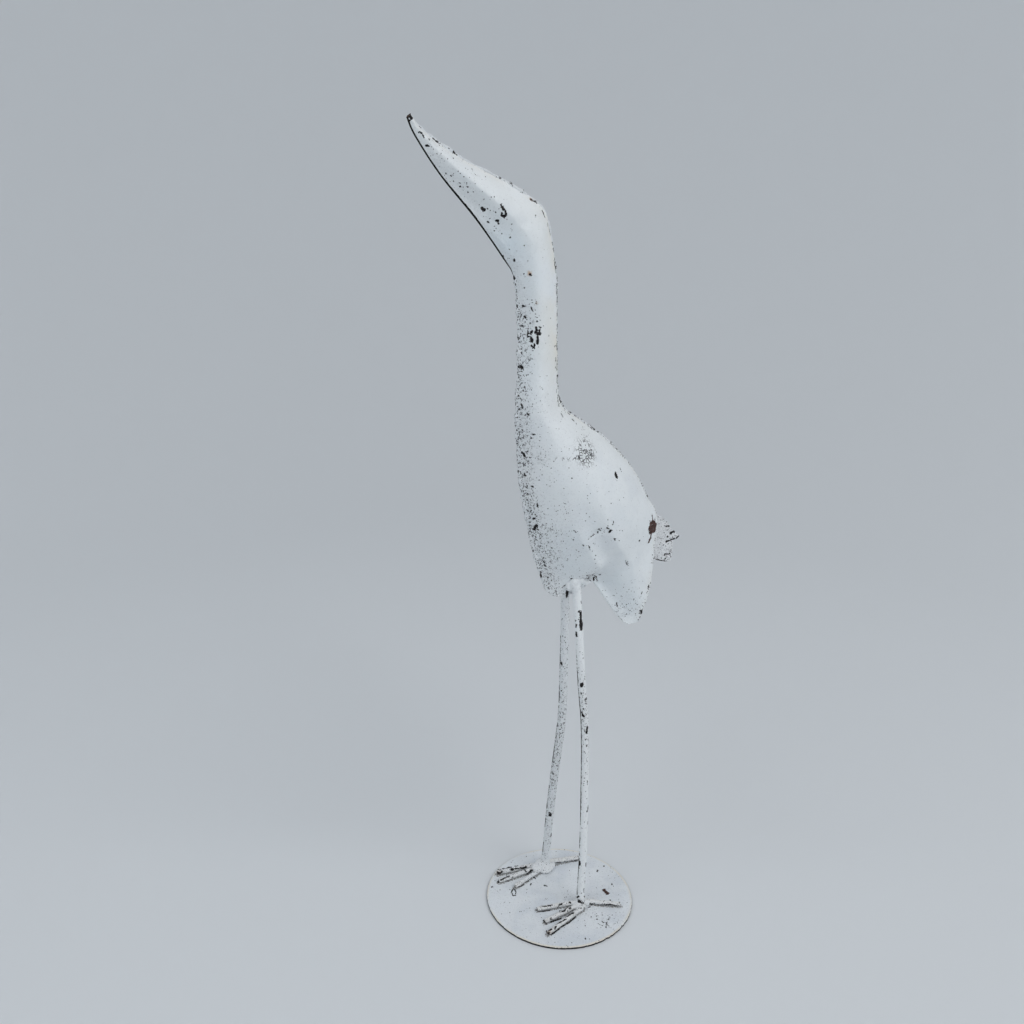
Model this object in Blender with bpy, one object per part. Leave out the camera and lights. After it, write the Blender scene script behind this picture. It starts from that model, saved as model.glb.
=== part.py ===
"""Crane garden statue: two hammered sheet halves on two rod legs, welded to a round sheet base.

The bird looks along -Y, its left side is +X, and the origin is the centre of the base's underside.
"""

import math

import bmesh
import bpy
import numpy as np

MM = 0.001

# Stock that the statue is made of
DISC_DIAMETER = 120 * MM
DISC_THICKNESS = 2 * MM
LEG_DIAMETER = 6 * MM
TOE_DIAMETER = 3.6 * MM
SHEET = 1.2 * MM
CLEARANCE = 0.3 * MM
BEAK_SLIT = 2.6 * MM

# The figure is drawn below in millimetres, 600 tall from the top of the base to the beak's tip
FIGURE_HEIGHT = 600 * MM
DRAWN = FIGURE_HEIGHT / 600

# Where the bird's middle plane and the middle between its feet stand on the base
MIDDLE_X = -9.6 * MM
MIDDLE_Y = 7.8 * MM

DISC_SIDES = 96
ROD_SIDES = 10
ROWS_PER_STATION = 3
ROWS_PER_BEND = 3
WELD_ROWS = 5
COLUMNS = 14

# A leg's hip is set against this many rows of the flank's last stations
HIP_STATIONS = 4
HIP_ROWS = 40

# Columns stand closer together near a flank's edges, where it bends most: 0 is even, 1 is a half circle's
EDGE_GATHERING = 0.6

# Most of a chord that the mitred edge of the inner face takes, and most of a thin bulge that the sheet takes
MOST_MITRE = 0.22
MOST_OF_BULGE = 0.45

# Share of a flank's bulge over which the hammered forms fade out towards its edges
EDGE_FADE = 0.25

# Paint as Principled values: colour, roughness
WHITE_PAINT = (0.80, 0.81, 0.79, 1.0)
BASE_PAINT = (0.72, 0.75, 0.77, 1.0)
WORN_PAINT = (0.70, 0.68, 0.62, 1.0)
PAINT_ROUGHNESS = 0.62

# One flank from the beak's tip to the wing's tip. Each row is a station across the bird:
# front edge (forward, up), back edge (forward, up), bulge, where its ridge lies from the front (0 to 1),
# fullness in front of the ridge and behind it (1 is flat, 2 is round)
STATIONS = (
    (133.8, 598.6, 131.6, 601.0, 1.7, 0.50, 1.6, 1.6),
    (128.6, 588.2, 123.6, 592.0, 3.1, 0.48, 1.4, 1.6),
    (111.8, 565.8, 98.6, 576.8, 6.2, 0.46, 1.2, 1.6),
    (87.6, 539.8, 66.1, 562.4, 10.2, 0.46, 1.2, 1.7),
    (68.2, 515.9, 42.0, 548.6, 13.0, 0.44, 1.3, 1.8),
    (60.9, 504.9, 34.8, 533.4, 13.4, 0.40, 1.4, 1.8),
    (57.5, 487.5, 28.2, 501.0, 12.4, 0.38, 1.4, 1.6),
    (55.4, 452.5, 25.5, 455.0, 11.8, 0.38, 1.4, 1.5),
    (56.2, 418.0, 21.6, 418.5, 14.0, 0.40, 1.5, 1.6),
    (54.8, 393.0, 5.5, 404.0, 20.5, 0.44, 1.6, 1.8),
    (52.0, 363.7, -18.6, 386.2, 28.0, 0.46, 1.7, 2.2),
    (46.6, 339.5, -41.4, 363.2, 32.0, 0.48, 1.7, 2.6),
    (41.4, 317.0, -57.0, 338.6, 31.0, 0.48, 1.7, 2.6),
    (35.8, 298.6, -67.0, 321.4, 24.0, 0.44, 1.7, 2.2),
    (30.9, 285.0, -64.4, 297.0, 14.0, 0.40, 1.8, 2.0),
    (27.6, 276.0, -59.6, 264.3, 7.5, 0.40, 1.8, 2.0),
    (21.5, 270.4, -50.5, 240.0, 4.5, 0.40, 2.0, 2.0),
)
SLIT_END = 5
TAIL_STATION = 13

# How far the edges stand from the middle plane at the last stations, front edge and back edge
CORNER_SPREAD = 3.0
WING_SPREAD = (0.6, 4.0, 8.5, 10.5)

# The flank's lower edge from its front corner to the wing's tip: forward, up
LOWER_EDGE = (
    (21.5, 270.4),
    (14.2, 270.9),
    (6.5, 272.6),
    (-2.2, 275.2),
    (-10.6, 277.5),
    (-16.9, 270.2),
    (-24.8, 258.1),
    (-33.5, 246.1),
    (-42.5, 237.7),
    (-50.5, 240.0),
)

# The right wing's tip was cut a little shorter than the left one's: forward, up
WING_TIP_MOVE = {"left": (0.0, 0.0), "right": (-3.0, 6.0)}

# Hammered forms on a flank: from and to (forward, up), reach, height
FORMS = (
    (-9.0, 305.0, -10.0, 300.0, 13.0, 4.5),
    (19.0, 331.0, 1.0, 299.0, 5.5, -2.6),
    (8.0, 325.0, -5.0, 328.0, 4.0, -1.2),
    (-8.0, 323.0, -31.0, 296.0, 5.5, -2.6),
    (-5.0, 348.0, -27.0, 316.0, 8.0, 2.0),
    (-46.0, 292.0, -52.0, 262.0, 7.0, 2.0),
    (62.4, 537.0, 60.0, 534.0, 3.5, -0.8),
)

# The tail sheet's outline: forward, up
TAIL = (
    (-52.0, 316.0),
    (-67.0, 320.5),
    (-78.0, 311.0),
    (-90.3, 300.1),
    (-79.2, 298.4),
    (-85.0, 289.0),
    (-84.5, 281.7),
    (-77.8, 282.3),
    (-69.0, 284.8),
    (-55.0, 288.0),
)

# Each leg's bends from hip to ankle (forward, up), its foot (forward, outward) and its weld
LEG_BENDS = {
    "left": (
        (7.2, 277.5),
        (3.3, 230.0),
        (0.5, 195.5),
        (-3.0, 160.0),
        (-4.1, 104.0),
        (-4.2, 50.0),
        (-2.8, 14.0),
    ),
    "right": (
        (5.2, 277.5),
        (2.1, 248.0),
        (-1.0, 190.0),
        (-2.4, 150.0),
        (-0.4, 112.0),
        (1.8, 68.0),
        (2.8, 14.0),
    ),
}
FOOT = {"left": (-2.8, 26.0), "right": (3.2, 25.0)}
WELD_RADIUS = {"left": 6.5 * MM, "right": 8.5 * MM}
WELD_HEIGHT = {"left": 10 * MM, "right": 13 * MM}

# How fast a weld thins going up the rod: 1 is a cone, and more is hollower
WELD_HOLLOW = 1.5

# A toe is lower at its middle than at its inner end by this share, and narrows to its tip by this one,
# from this share of its diameter before the tip
TOE_MIDDLE_LIFT = 0.35
TOE_TIP_RADIUS = 0.38
TOE_TIP_LENGTH = 0.25

# Each toe's tip (forward, outward) from its foot's centre, how far its line passes outward of that
# centre, and how far its inner end is raised off the base
TOES = {
    "left": {
        "outer": (41.2, 20.5, 6.6, 0.8 * MM),
        "middle": (37.0, 7.8, 3.4, 1.2 * MM),
        "inner": (36.4, -7.1, 0.6, 0.8 * MM),
        "back": (-28.2, 16.2, -0.3, 1.0 * MM),
    },
    "right": {
        "outer": (40.9, 9.3, 3.6, 1.0 * MM),
        "middle": (43.7, -0.5, 0.4, 1.2 * MM),
        "inner": (34.3, -11.7, -1.1, 0.8 * MM),
        "back": (-33.3, -1.5, 1.8, 3.2 * MM),
    },
}


def read_curve(rows, place):
    """Reads rows of numbers at a place from 0 to the last row, on a smooth curve through them all."""
    rows = np.asarray(rows, float)
    last = len(rows) - 1
    low = min(int(place), last - 1)
    t = place - low
    before, start, end, after = rows[max(low - 1, 0)], rows[low], rows[low + 1], rows[min(low + 2, last)]
    bend = 2 * before - 5 * start + 4 * end - after
    turn = 3 * start - before - 3 * end + after
    return start + 0.5 * t * ((end - before) + t * (bend + t * turn))


def clear_scene():
    for obj in list(bpy.data.objects):
        bpy.data.objects.remove(obj, do_unlink=True)


def paint(name, colour):
    material = bpy.data.materials.new(name)
    material.use_nodes = True
    shader = material.node_tree.nodes["Principled BSDF"]
    shader.inputs["Base Color"].default_value = colour
    shader.inputs["Roughness"].default_value = PAINT_ROUGHNESS
    shader.inputs["Metallic"].default_value = 0.0
    material.diffuse_color = colour
    return material


def add_empty(name, location, parent=None):
    empty = bpy.data.objects.new(name, None)
    empty.location = location
    empty.parent = parent
    bpy.context.collection.objects.link(empty)
    return empty


def add_object(name, data, colour, parent=None):
    obj = bpy.data.objects.new(name, data)
    data.materials.append(paint(name + "_paint", colour))
    obj.parent = parent
    bpy.context.collection.objects.link(obj)
    return obj


def finish_mesh(name, form, colour, parent):
    bmesh.ops.recalc_face_normals(form, faces=form.faces)
    mesh = bpy.data.meshes.new(name)
    form.to_mesh(mesh)
    form.free()
    obj = add_object(name, mesh, colour, parent)
    mesh.shade_smooth()
    mesh.set_sharp_from_angle(angle=math.radians(40))
    return obj


def across(share, ridge, front_fullness, back_fullness):
    """Bulge of a flank from 0 at its edges to 1 at its ridge, for a share of the way from front to back."""
    if share < ridge:
        return 1 - (1 - share / ridge) ** front_fullness
    return 1 - (1 - (1 - share) / (1 - ridge)) ** back_fullness


def hammered(forward, up):
    """Height of the hammered forms at a place on the flank, in drawn millimetres."""
    height = 0.0
    for from_forward, from_up, to_forward, to_up, reach, rise in FORMS:
        run = np.array([to_forward - from_forward, to_up - from_up])
        gone = np.array([forward - from_forward, up - from_up])
        along = min(max(float(gone @ run) / max(float(run @ run), 1e-9), 0.0), 1.0)
        height += rise * math.exp(-float(np.sum((gone - along * run) ** 2)) / reach**2)
    return height


def edge_spread(place):
    """Metres from the middle plane to the flank's front edge and back edge at a station."""
    closed = CLEARANCE / 2
    open_beak = BEAK_SLIT / 2
    beak = min(max(SLIT_END - place, 0.0), 1.0)
    front = closed + (open_beak - closed) * beak
    back = closed
    last = len(STATIONS) - 1
    if place > last - 2:
        front += (CORNER_SPREAD * DRAWN - closed) * ((place - last + 2) / 2) ** 2
    if place > TAIL_STATION - 1:
        wing = read_curve([(0.0,)] + [(spread,) for spread in WING_SPREAD], place - TAIL_STATION + 1)
        tail_gap = SHEET / 2 + CLEARANCE - closed
        back += float(wing[0]) * DRAWN + tail_gap * min(place - TAIL_STATION + 1, 1.0)
    return front, back


def flank_row(side_name, place, inner):
    """One row of points across a flank, on its outer face or, inset by the sheet, on its inner face."""
    last = len(STATIONS) - 1
    front_x, front_z, back_x, back_z, bulge, ridge, front_full, back_full = read_curve(STATIONS, place)
    front = np.array([front_x, front_z]) * DRAWN
    back = np.array([back_x, back_z]) * DRAWN
    chord = float(np.linalg.norm(back - front))
    bulge = bulge * DRAWN
    spread_front, spread_back = edge_spread(place)
    opened = min(max(place - TAIL_STATION, 0.0), 1.0)
    lower = max(place - (last - 3), 0.0) / 3
    inset_front = inset_back = thinner = 0.0
    if inner:
        slope_front = front_full * bulge / (ridge * chord)
        slope_back = back_full * bulge / ((1 - ridge) * chord)
        inset_front = min(SHEET / math.sin(math.atan(slope_front)) / chord, MOST_MITRE)
        inset_back = min(SHEET / math.sin(math.atan(slope_back)) / chord, MOST_MITRE) * (1 - opened)
        thinner = min(SHEET, MOST_OF_BULGE * bulge)
    row = []
    for column in range(COLUMNS + 1):
        even = column / COLUMNS
        gathered = (1 - math.cos(math.pi * even)) / 2
        share = even + (gathered - even) * EDGE_GATHERING
        plain = inset_front + (1 - inset_front - inset_back) * share
        point = front + (back - front) * plain
        edge = read_curve(LOWER_EDGE, plain * (len(LOWER_EDGE) - 1)) * DRAWN
        first, final = np.array(LOWER_EDGE[0]) * DRAWN, np.array(LOWER_EDGE[-1]) * DRAWN
        point = point + lower**2 * (edge - first - (final - first) * plain)
        point = point + lower**2 * plain * np.array(WING_TIP_MOVE[side_name]) * DRAWN
        form = across(share, ridge, front_full, back_full)
        side = spread_front + (spread_back - spread_front) * plain + (bulge - thinner) * form
        side -= thinner * opened * share * (1 - form)
        side += hammered(*(point / DRAWN)) * DRAWN * min(form / EDGE_FADE, 1.0)
        row.append((side, point[0], point[1]))
    return row


def flank_grid(side_name, inner):
    last = len(STATIONS) - 1
    count = last * ROWS_PER_STATION
    return [flank_row(side_name, last * i / count, inner) for i in range(count + 1)]


def build_flank(side_name, sign, figure):
    """A formed sheet half: outer and inner faces, joined around the edge."""
    form = bmesh.new()
    faces = []
    for inner in (False, True):
        grid = [
            [form.verts.new((sign * side, -forward, up)) for side, forward, up in row]
            for row in flank_grid(side_name, inner)
        ]
        faces.append(grid)
        for upper_row, lower_row in zip(grid, grid[1:]):
            for i in range(COLUMNS):
                form.faces.new((upper_row[i], upper_row[i + 1], lower_row[i + 1], lower_row[i]))
    outer, inside = faces
    rims = [
        ([row[0] for row in outer], [row[0] for row in inside]),
        ([row[-1] for row in outer], [row[-1] for row in inside]),
        (outer[0], inside[0]),
        (outer[-1], inside[-1]),
    ]
    for outer_rim, inner_rim in rims:
        for i in range(len(outer_rim) - 1):
            form.faces.new((outer_rim[i], outer_rim[i + 1], inner_rim[i + 1], inner_rim[i]))
    finish_mesh(side_name + "_flank", form, WHITE_PAINT, figure)


def build_tail(figure):
    """The flat sheet held between the flanks, thickened evenly about the middle plane."""
    form = bmesh.new()
    form.faces.new([form.verts.new((0.0, -forward * DRAWN, up * DRAWN)) for forward, up in TAIL])
    tail = finish_mesh("tail", form, WORN_PAINT, figure)
    thick = tail.modifiers.new("thickness", "SOLIDIFY")
    thick.thickness = SHEET
    thick.offset = 0.0


def build_disc():
    form = bmesh.new()
    bmesh.ops.create_cone(
        form,
        cap_ends=True,
        segments=DISC_SIDES,
        radius1=DISC_DIAMETER / 2,
        radius2=DISC_DIAMETER / 2,
        depth=DISC_THICKNESS,
    )
    disc = finish_mesh("base_disc", form, BASE_PAINT, None)
    disc.location = (0.0, 0.0, DISC_THICKNESS / 2)


def add_rod(name, points, radii, diameter, parent):
    """A round bar through points, with its radius at each of them."""
    curve = bpy.data.curves.new(name, "CURVE")
    curve.dimensions = "3D"
    curve.bevel_depth = diameter / 2
    curve.bevel_resolution = ROD_SIDES // 2 - 2
    curve.use_fill_caps = True
    spline = curve.splines.new("POLY")
    spline.points.add(len(points) - 1)
    for place, point, radius in zip(spline.points, points, radii):
        place.co = (*point, 1.0)
        place.radius = radius / (diameter / 2)
    return add_object(name, curve, WHITE_PAINT, parent)


def hip_side(side_name, forward, up):
    """How far out a leg's centre line stands at the hip, so that the rod rests against the flank."""
    reach = LEG_DIAMETER / 2 + CLEARANCE
    last = len(STATIONS) - 1
    near = [
        side
        for i in range(HIP_ROWS)
        for side, row_forward, row_up in flank_row(side_name, last - HIP_STATIONS * i / HIP_ROWS, False)
        if abs(row_forward - forward) < reach + CLEARANCE and row_up < up + LEG_DIAMETER / 2
    ]
    return max(near) + reach


def weld_radius(side, height):
    """Radius of the weld around a leg at a height above the base."""
    share = min(max(1 - height / WELD_HEIGHT[side], 0.0), 1.0)
    rod = LEG_DIAMETER / 2
    return rod + (WELD_RADIUS[side] - rod) * share**WELD_HOLLOW


def build_leg(side, sign, figure):
    """A bent rod from the flank's lower edge down to its foot, where it spreads into its weld."""
    bends = [(forward * DRAWN, up * DRAWN) for forward, up in LEG_BENDS[side]]
    foot_forward, foot_side = (share * DRAWN for share in FOOT[side])
    hip_forward, hip_up = bends[0]
    hip = hip_side(side, hip_forward, hip_up)
    path = []
    samples = ROWS_PER_BEND * (len(bends) - 1)
    for i in range(samples + 1):
        forward, up = read_curve(bends, (len(bends) - 1) * i / samples)
        outward = hip + (foot_side - hip) * (1 - up / hip_up)
        path.append((sign * outward, -forward, up))
    radii = [LEG_DIAMETER / 2] * len(path)
    for i in range(WELD_ROWS + 1):
        up = CLEARANCE + WELD_HEIGHT[side] * (1 - i / WELD_ROWS)
        path.append((sign * foot_side, -foot_forward, up))
        radii.append(weld_radius(side, up))
    add_rod(side + "_leg", path, radii, LEG_DIAMETER, figure)


def build_toe(side, sign, which, foot):
    """A cut rod from the weld out to its tip, lying on the base at the tip."""
    forward, outward, aside, raised = TOES[side][which]
    tip = np.array([forward, outward]) * DRAWN
    passing = np.array([0.0, aside]) * DRAWN
    heading = (tip - passing) / np.linalg.norm(tip - passing)
    low = TOE_DIAMETER / 2 + CLEARANCE
    reach = weld_radius(side, raised) + CLEARANCE
    offset = max(abs(float(passing[0] * heading[1] - passing[1] * heading[0])) - TOE_DIAMETER / 2, 0.0)
    start = math.sqrt(reach**2 - offset**2) - float(passing @ heading)
    root = passing + heading * (start + CLEARANCE)
    near_tip = tip - heading * TOE_TIP_LENGTH * TOE_DIAMETER
    middle = (root + tip) / 2
    path = []
    for place, lift in ((root, raised), (middle, TOE_MIDDLE_LIFT * raised), (near_tip, 0.0), (tip, 0.0)):
        path.append((sign * place[1], -place[0], low + lift))
    radii = [TOE_DIAMETER / 2] * 3 + [TOE_TIP_RADIUS * TOE_DIAMETER]
    add_rod(f"{side}_toe_{which}", path, radii, TOE_DIAMETER, foot)


def build_statue():
    clear_scene()
    build_disc()
    figure = add_empty("figure", (MIDDLE_X, MIDDLE_Y, DISC_THICKNESS))
    build_tail(figure)
    for side, sign in (("left", 1), ("right", -1)):
        build_flank(side, sign, figure)
        build_leg(side, sign, figure)
        foot_forward, foot_side = (share * DRAWN for share in FOOT[side])
        foot = add_empty(side + "_foot", (sign * foot_side, -foot_forward, 0.0), figure)
        for which in TOES[side]:
            build_toe(side, sign, which, foot)


build_statue()
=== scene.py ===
"""Looks of the crane garden statue: worn white paint on hammered sheet iron, rods and welds.

The bird looks along -Y and its left side is +X. Places on it are given in millimetres as
(forward, up) or (forward, left, up) from the top of the base, below the bird's middle plane.
"""

import math
import random

import bmesh
import bpy
import numpy as np
from mathutils import Matrix, Vector, noise


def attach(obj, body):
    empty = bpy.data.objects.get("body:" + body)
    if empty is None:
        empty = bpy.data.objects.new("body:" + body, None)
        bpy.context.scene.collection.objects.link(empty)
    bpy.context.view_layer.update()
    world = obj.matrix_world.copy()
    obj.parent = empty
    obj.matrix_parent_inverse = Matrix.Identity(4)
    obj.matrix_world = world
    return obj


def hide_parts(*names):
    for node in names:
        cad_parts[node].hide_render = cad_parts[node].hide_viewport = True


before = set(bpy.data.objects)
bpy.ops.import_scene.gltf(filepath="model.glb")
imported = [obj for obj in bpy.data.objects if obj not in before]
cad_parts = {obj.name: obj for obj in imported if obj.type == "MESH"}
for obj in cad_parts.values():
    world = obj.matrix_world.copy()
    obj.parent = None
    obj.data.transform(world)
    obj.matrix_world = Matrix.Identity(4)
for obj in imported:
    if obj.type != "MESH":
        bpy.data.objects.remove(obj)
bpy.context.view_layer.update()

MM = 0.001
DISC_RADIUS = 60.0
DISC_THICKNESS = 2.0
LEG_RADIUS = 3.0
LEG_SWELL = {"left": 1.07, "right": 1.13}
TOE_RADIUS = 1.8
SHEET = 1.2
CLEARANCE = 0.3
BEAK_SLIT = 2.6
MIDDLE = Vector((-9.6, 7.8, DISC_THICKNESS))
SIDES = (("left", 1), ("right", -1))

# What a place without any mark has in place of its depth inside one
NO_MARK = -6.0

# Mesh fineness: a flank's rows, the columns across its outer face, how many of those a column of its inner
# face spans and how strongly they gather at its edges, how soft a fold is, and the sides of round pieces
ROWS = 540
COLUMNS = 130
INNER_SPAN = 5
EDGE_GATHERING = 0.6
FOLD_SOFTNESS = 1.6
BEAD_SIDES = 10
LEG_SIDES = 40
TOE_SIDES = 16
DISC_SIDES = 480
DISC_RINGS = 96
FLOOR_SIDES = 96

# Heights where the wear changes: the head's lower end, the throat's, and the body's upper end
HEAD_UP = 510
THROAT_UP = 492
BODY_UP = 440

# The flank's stations, from the beak's tip to the wing's tip, as in the solids: front edge and back edge
# (forward, up), bulge, where its ridge lies, fullness in front of the ridge and behind it
STATIONS = (
    (133.8, 598.6, 131.6, 601.0, 1.7, 0.50, 1.6, 1.6),
    (128.6, 588.2, 123.6, 592.0, 3.1, 0.48, 1.4, 1.6),
    (111.8, 565.8, 98.6, 576.8, 6.2, 0.46, 1.2, 1.6),
    (87.6, 539.8, 66.1, 562.4, 10.2, 0.46, 1.2, 1.7),
    (68.2, 515.9, 42.0, 548.6, 13.0, 0.44, 1.3, 1.8),
    (60.9, 504.9, 34.8, 533.4, 13.4, 0.40, 1.4, 1.8),
    (57.5, 487.5, 28.2, 501.0, 12.4, 0.38, 1.4, 1.6),
    (55.4, 452.5, 25.5, 455.0, 11.8, 0.38, 1.4, 1.5),
    (56.2, 418.0, 21.6, 418.5, 14.0, 0.40, 1.5, 1.6),
    (54.8, 393.0, 5.5, 404.0, 20.5, 0.44, 1.6, 1.8),
    (52.0, 363.7, -18.6, 386.2, 28.0, 0.46, 1.7, 2.2),
    (46.6, 339.5, -41.4, 363.2, 32.0, 0.48, 1.7, 2.6),
    (41.4, 317.0, -57.0, 338.6, 31.0, 0.48, 1.7, 2.6),
    (35.8, 298.6, -67.0, 321.4, 24.0, 0.44, 1.7, 2.2),
    (30.9, 285.0, -64.4, 297.0, 14.0, 0.40, 1.8, 2.0),
    (27.6, 276.0, -59.6, 264.3, 7.5, 0.40, 1.8, 2.0),
    (21.5, 270.4, -50.5, 240.0, 4.5, 0.40, 2.0, 2.0),
)
SLIT_END = 5
TAIL_STATION = 13
CORNER_SPREAD = 3.0
WING_SPREAD = (0.6, 4.0, 8.5, 10.5)
LOWER_EDGE = (
    (21.5, 270.4), (14.2, 270.9), (6.5, 272.6), (-2.2, 275.2), (-10.6, 277.5), (-16.9, 270.2),
    (-24.8, 258.1), (-33.5, 246.1), (-42.5, 237.7), (-50.5, 240.0),
)
WING_TIP_MOVE = {"left": (0.0, 0.0), "right": (-3.0, 6.0)}

# Hammered forms on a flank: reach, whether the line is a crisp fold, and its points (forward, up, height)
FORMS = (
    (9.0, True, ((3.0, 362.0, 0.3), (2.2, 352.8, 1.0), (-2.1, 333.2, 3.2), (-12.2, 319.0, 4.8),
                 (-28.3, 300.7, 4.6), (-38.2, 291.4, 3.4), (-44.5, 272.2, 2.6), (-50.7, 249.6, 1.6))),
    (8.0, True, ((25.0, 372.0, 0.3), (26.6, 352.9, 1.0), (18.5, 328.7, 3.2), (10.2, 316.4, 4.4),
                 (1.3, 303.1, 5.8), (-6.4, 294.5, 5.8))),
    (7.5, False, ((15.3, 349.6, -0.6), (9.9, 337.8, -1.6), (1.7, 322.7, -2.7), (-6.6, 309.0, -2.8),
                  (-17.0, 298.0, -2.0))),
    (11.0, False, ((13.0, 281.0, -0.6), (0.0, 279.0, -3.2), (-11.0, 281.0, -7.6), (-20.0, 272.0, -5.0))),
    (14.0, False, ((-16.0, 270.0, -4.0), (-24.0, 257.0, -7.2), (-33.0, 247.0, -7.2), (-43.0, 240.0, -4.0))),
    (5.0, False, ((-21.0, 356.0, -0.3), (-36.0, 340.0, -0.7), (-50.0, 322.0, -0.4))),
    (7.0, True, ((119.5, 580.8, 0.4), (114.9, 576.9, 0.8), (105.8, 572.0, 1.5), (96.4, 565.2, 2.1),
                 (90.0, 558.3, 2.2), (83.3, 552.4, 1.8), (76.5, 545.3, 1.1), (69.0, 538.0, 0.4))),
    (5.0, False, ((107.9, 566.1, -0.7), (99.7, 558.0, -1.5), (92.8, 551.5, -2.2), (86.5, 547.4, -2.3),
                  (80.3, 542.7, -2.0), (71.9, 536.7, -1.6), (63.5, 530.7, -0.8))),
    (4.0, False, ((85.0, 536.5, 0.6), (76.2, 527.6, 1.5), (69.8, 520.1, 1.9), (64.0, 513.0, 1.2))),
    (3.2, False, ((62.0, 539.0, -1.1), (59.0, 538.2, -1.1))),
)

# Fine creases on the outer face alone, in the same form
CREASES = (
    (1.4, False, ((12.0, 321.0, -0.3), (8.7, 323.4, -0.6), (4.0, 328.5, -0.6), (-4.7, 328.3, -0.4))),
    (1.6, False, ((50.8, 470.0, -0.3), (49.4, 436.4, -0.3), (41.3, 396.0, -0.25), (30.0, 352.6, -0.3))),
    (2.4, False, ((-4.0, 281.0, 0.5), (-13.0, 276.0, 0.8), (-24.0, 262.0, 0.8), (-36.0, 247.0, 0.6))),
)

# Tail sheet's outline: forward, up
TAIL = (
    (-52.0, 316.0), (-66.0, 322.5), (-73.9, 318.2), (-77.5, 314.8), (-80.1, 310.8), (-81.8, 308.1),
    (-85.8, 305.9), (-90.4, 301.2), (-88.3, 299.2), (-82.7, 298.6), (-78.5, 297.8), (-81.2, 294.0),
    (-83.5, 290.3), (-84.7, 284.2), (-82.9, 281.3), (-76.7, 281.9), (-70.0, 284.0), (-55.0, 288.0),
)

# Legs from hip to ankle (forward, up), feet (forward, outward), and toes: tip (forward, outward) from
# the foot's centre, how far aside of that centre the toe's line passes, and its raised inner end
LEG_BENDS = {
    "left": (
        (7.2, 277.5), (3.3, 230.0), (0.5, 195.5), (-3.0, 160.0), (-4.1, 104.0), (-4.2, 50.0), (-2.8, 14.0),
    ),
    "right": (
        (5.2, 277.5), (2.1, 248.0), (-1.0, 190.0), (-2.4, 150.0), (-0.4, 112.0), (1.8, 68.0), (2.8, 14.0),
    ),
}
FOOT = {"left": (-2.8, 26.0), "right": (3.2, 25.0)}
TOES = {
    "left": {
        "outer": (41.2, 20.5, 6.6, 0.8),
        "middle": (37.0, 7.8, 3.4, 1.2),
        "inner": (36.4, -7.1, 0.6, 0.8),
        "back": (-28.2, 16.2, -0.3, 1.0),
    },
    "right": {
        "outer": (40.9, 9.3, 3.6, 1.0),
        "middle": (43.7, -0.5, 0.4, 1.2),
        "inner": (34.3, -11.7, -1.1, 0.8),
        "back": (-33.3, -1.5, 1.8, 3.2),
    },
}
WELD_RADIUS = {"left": 6.5, "right": 8.5}

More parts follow.
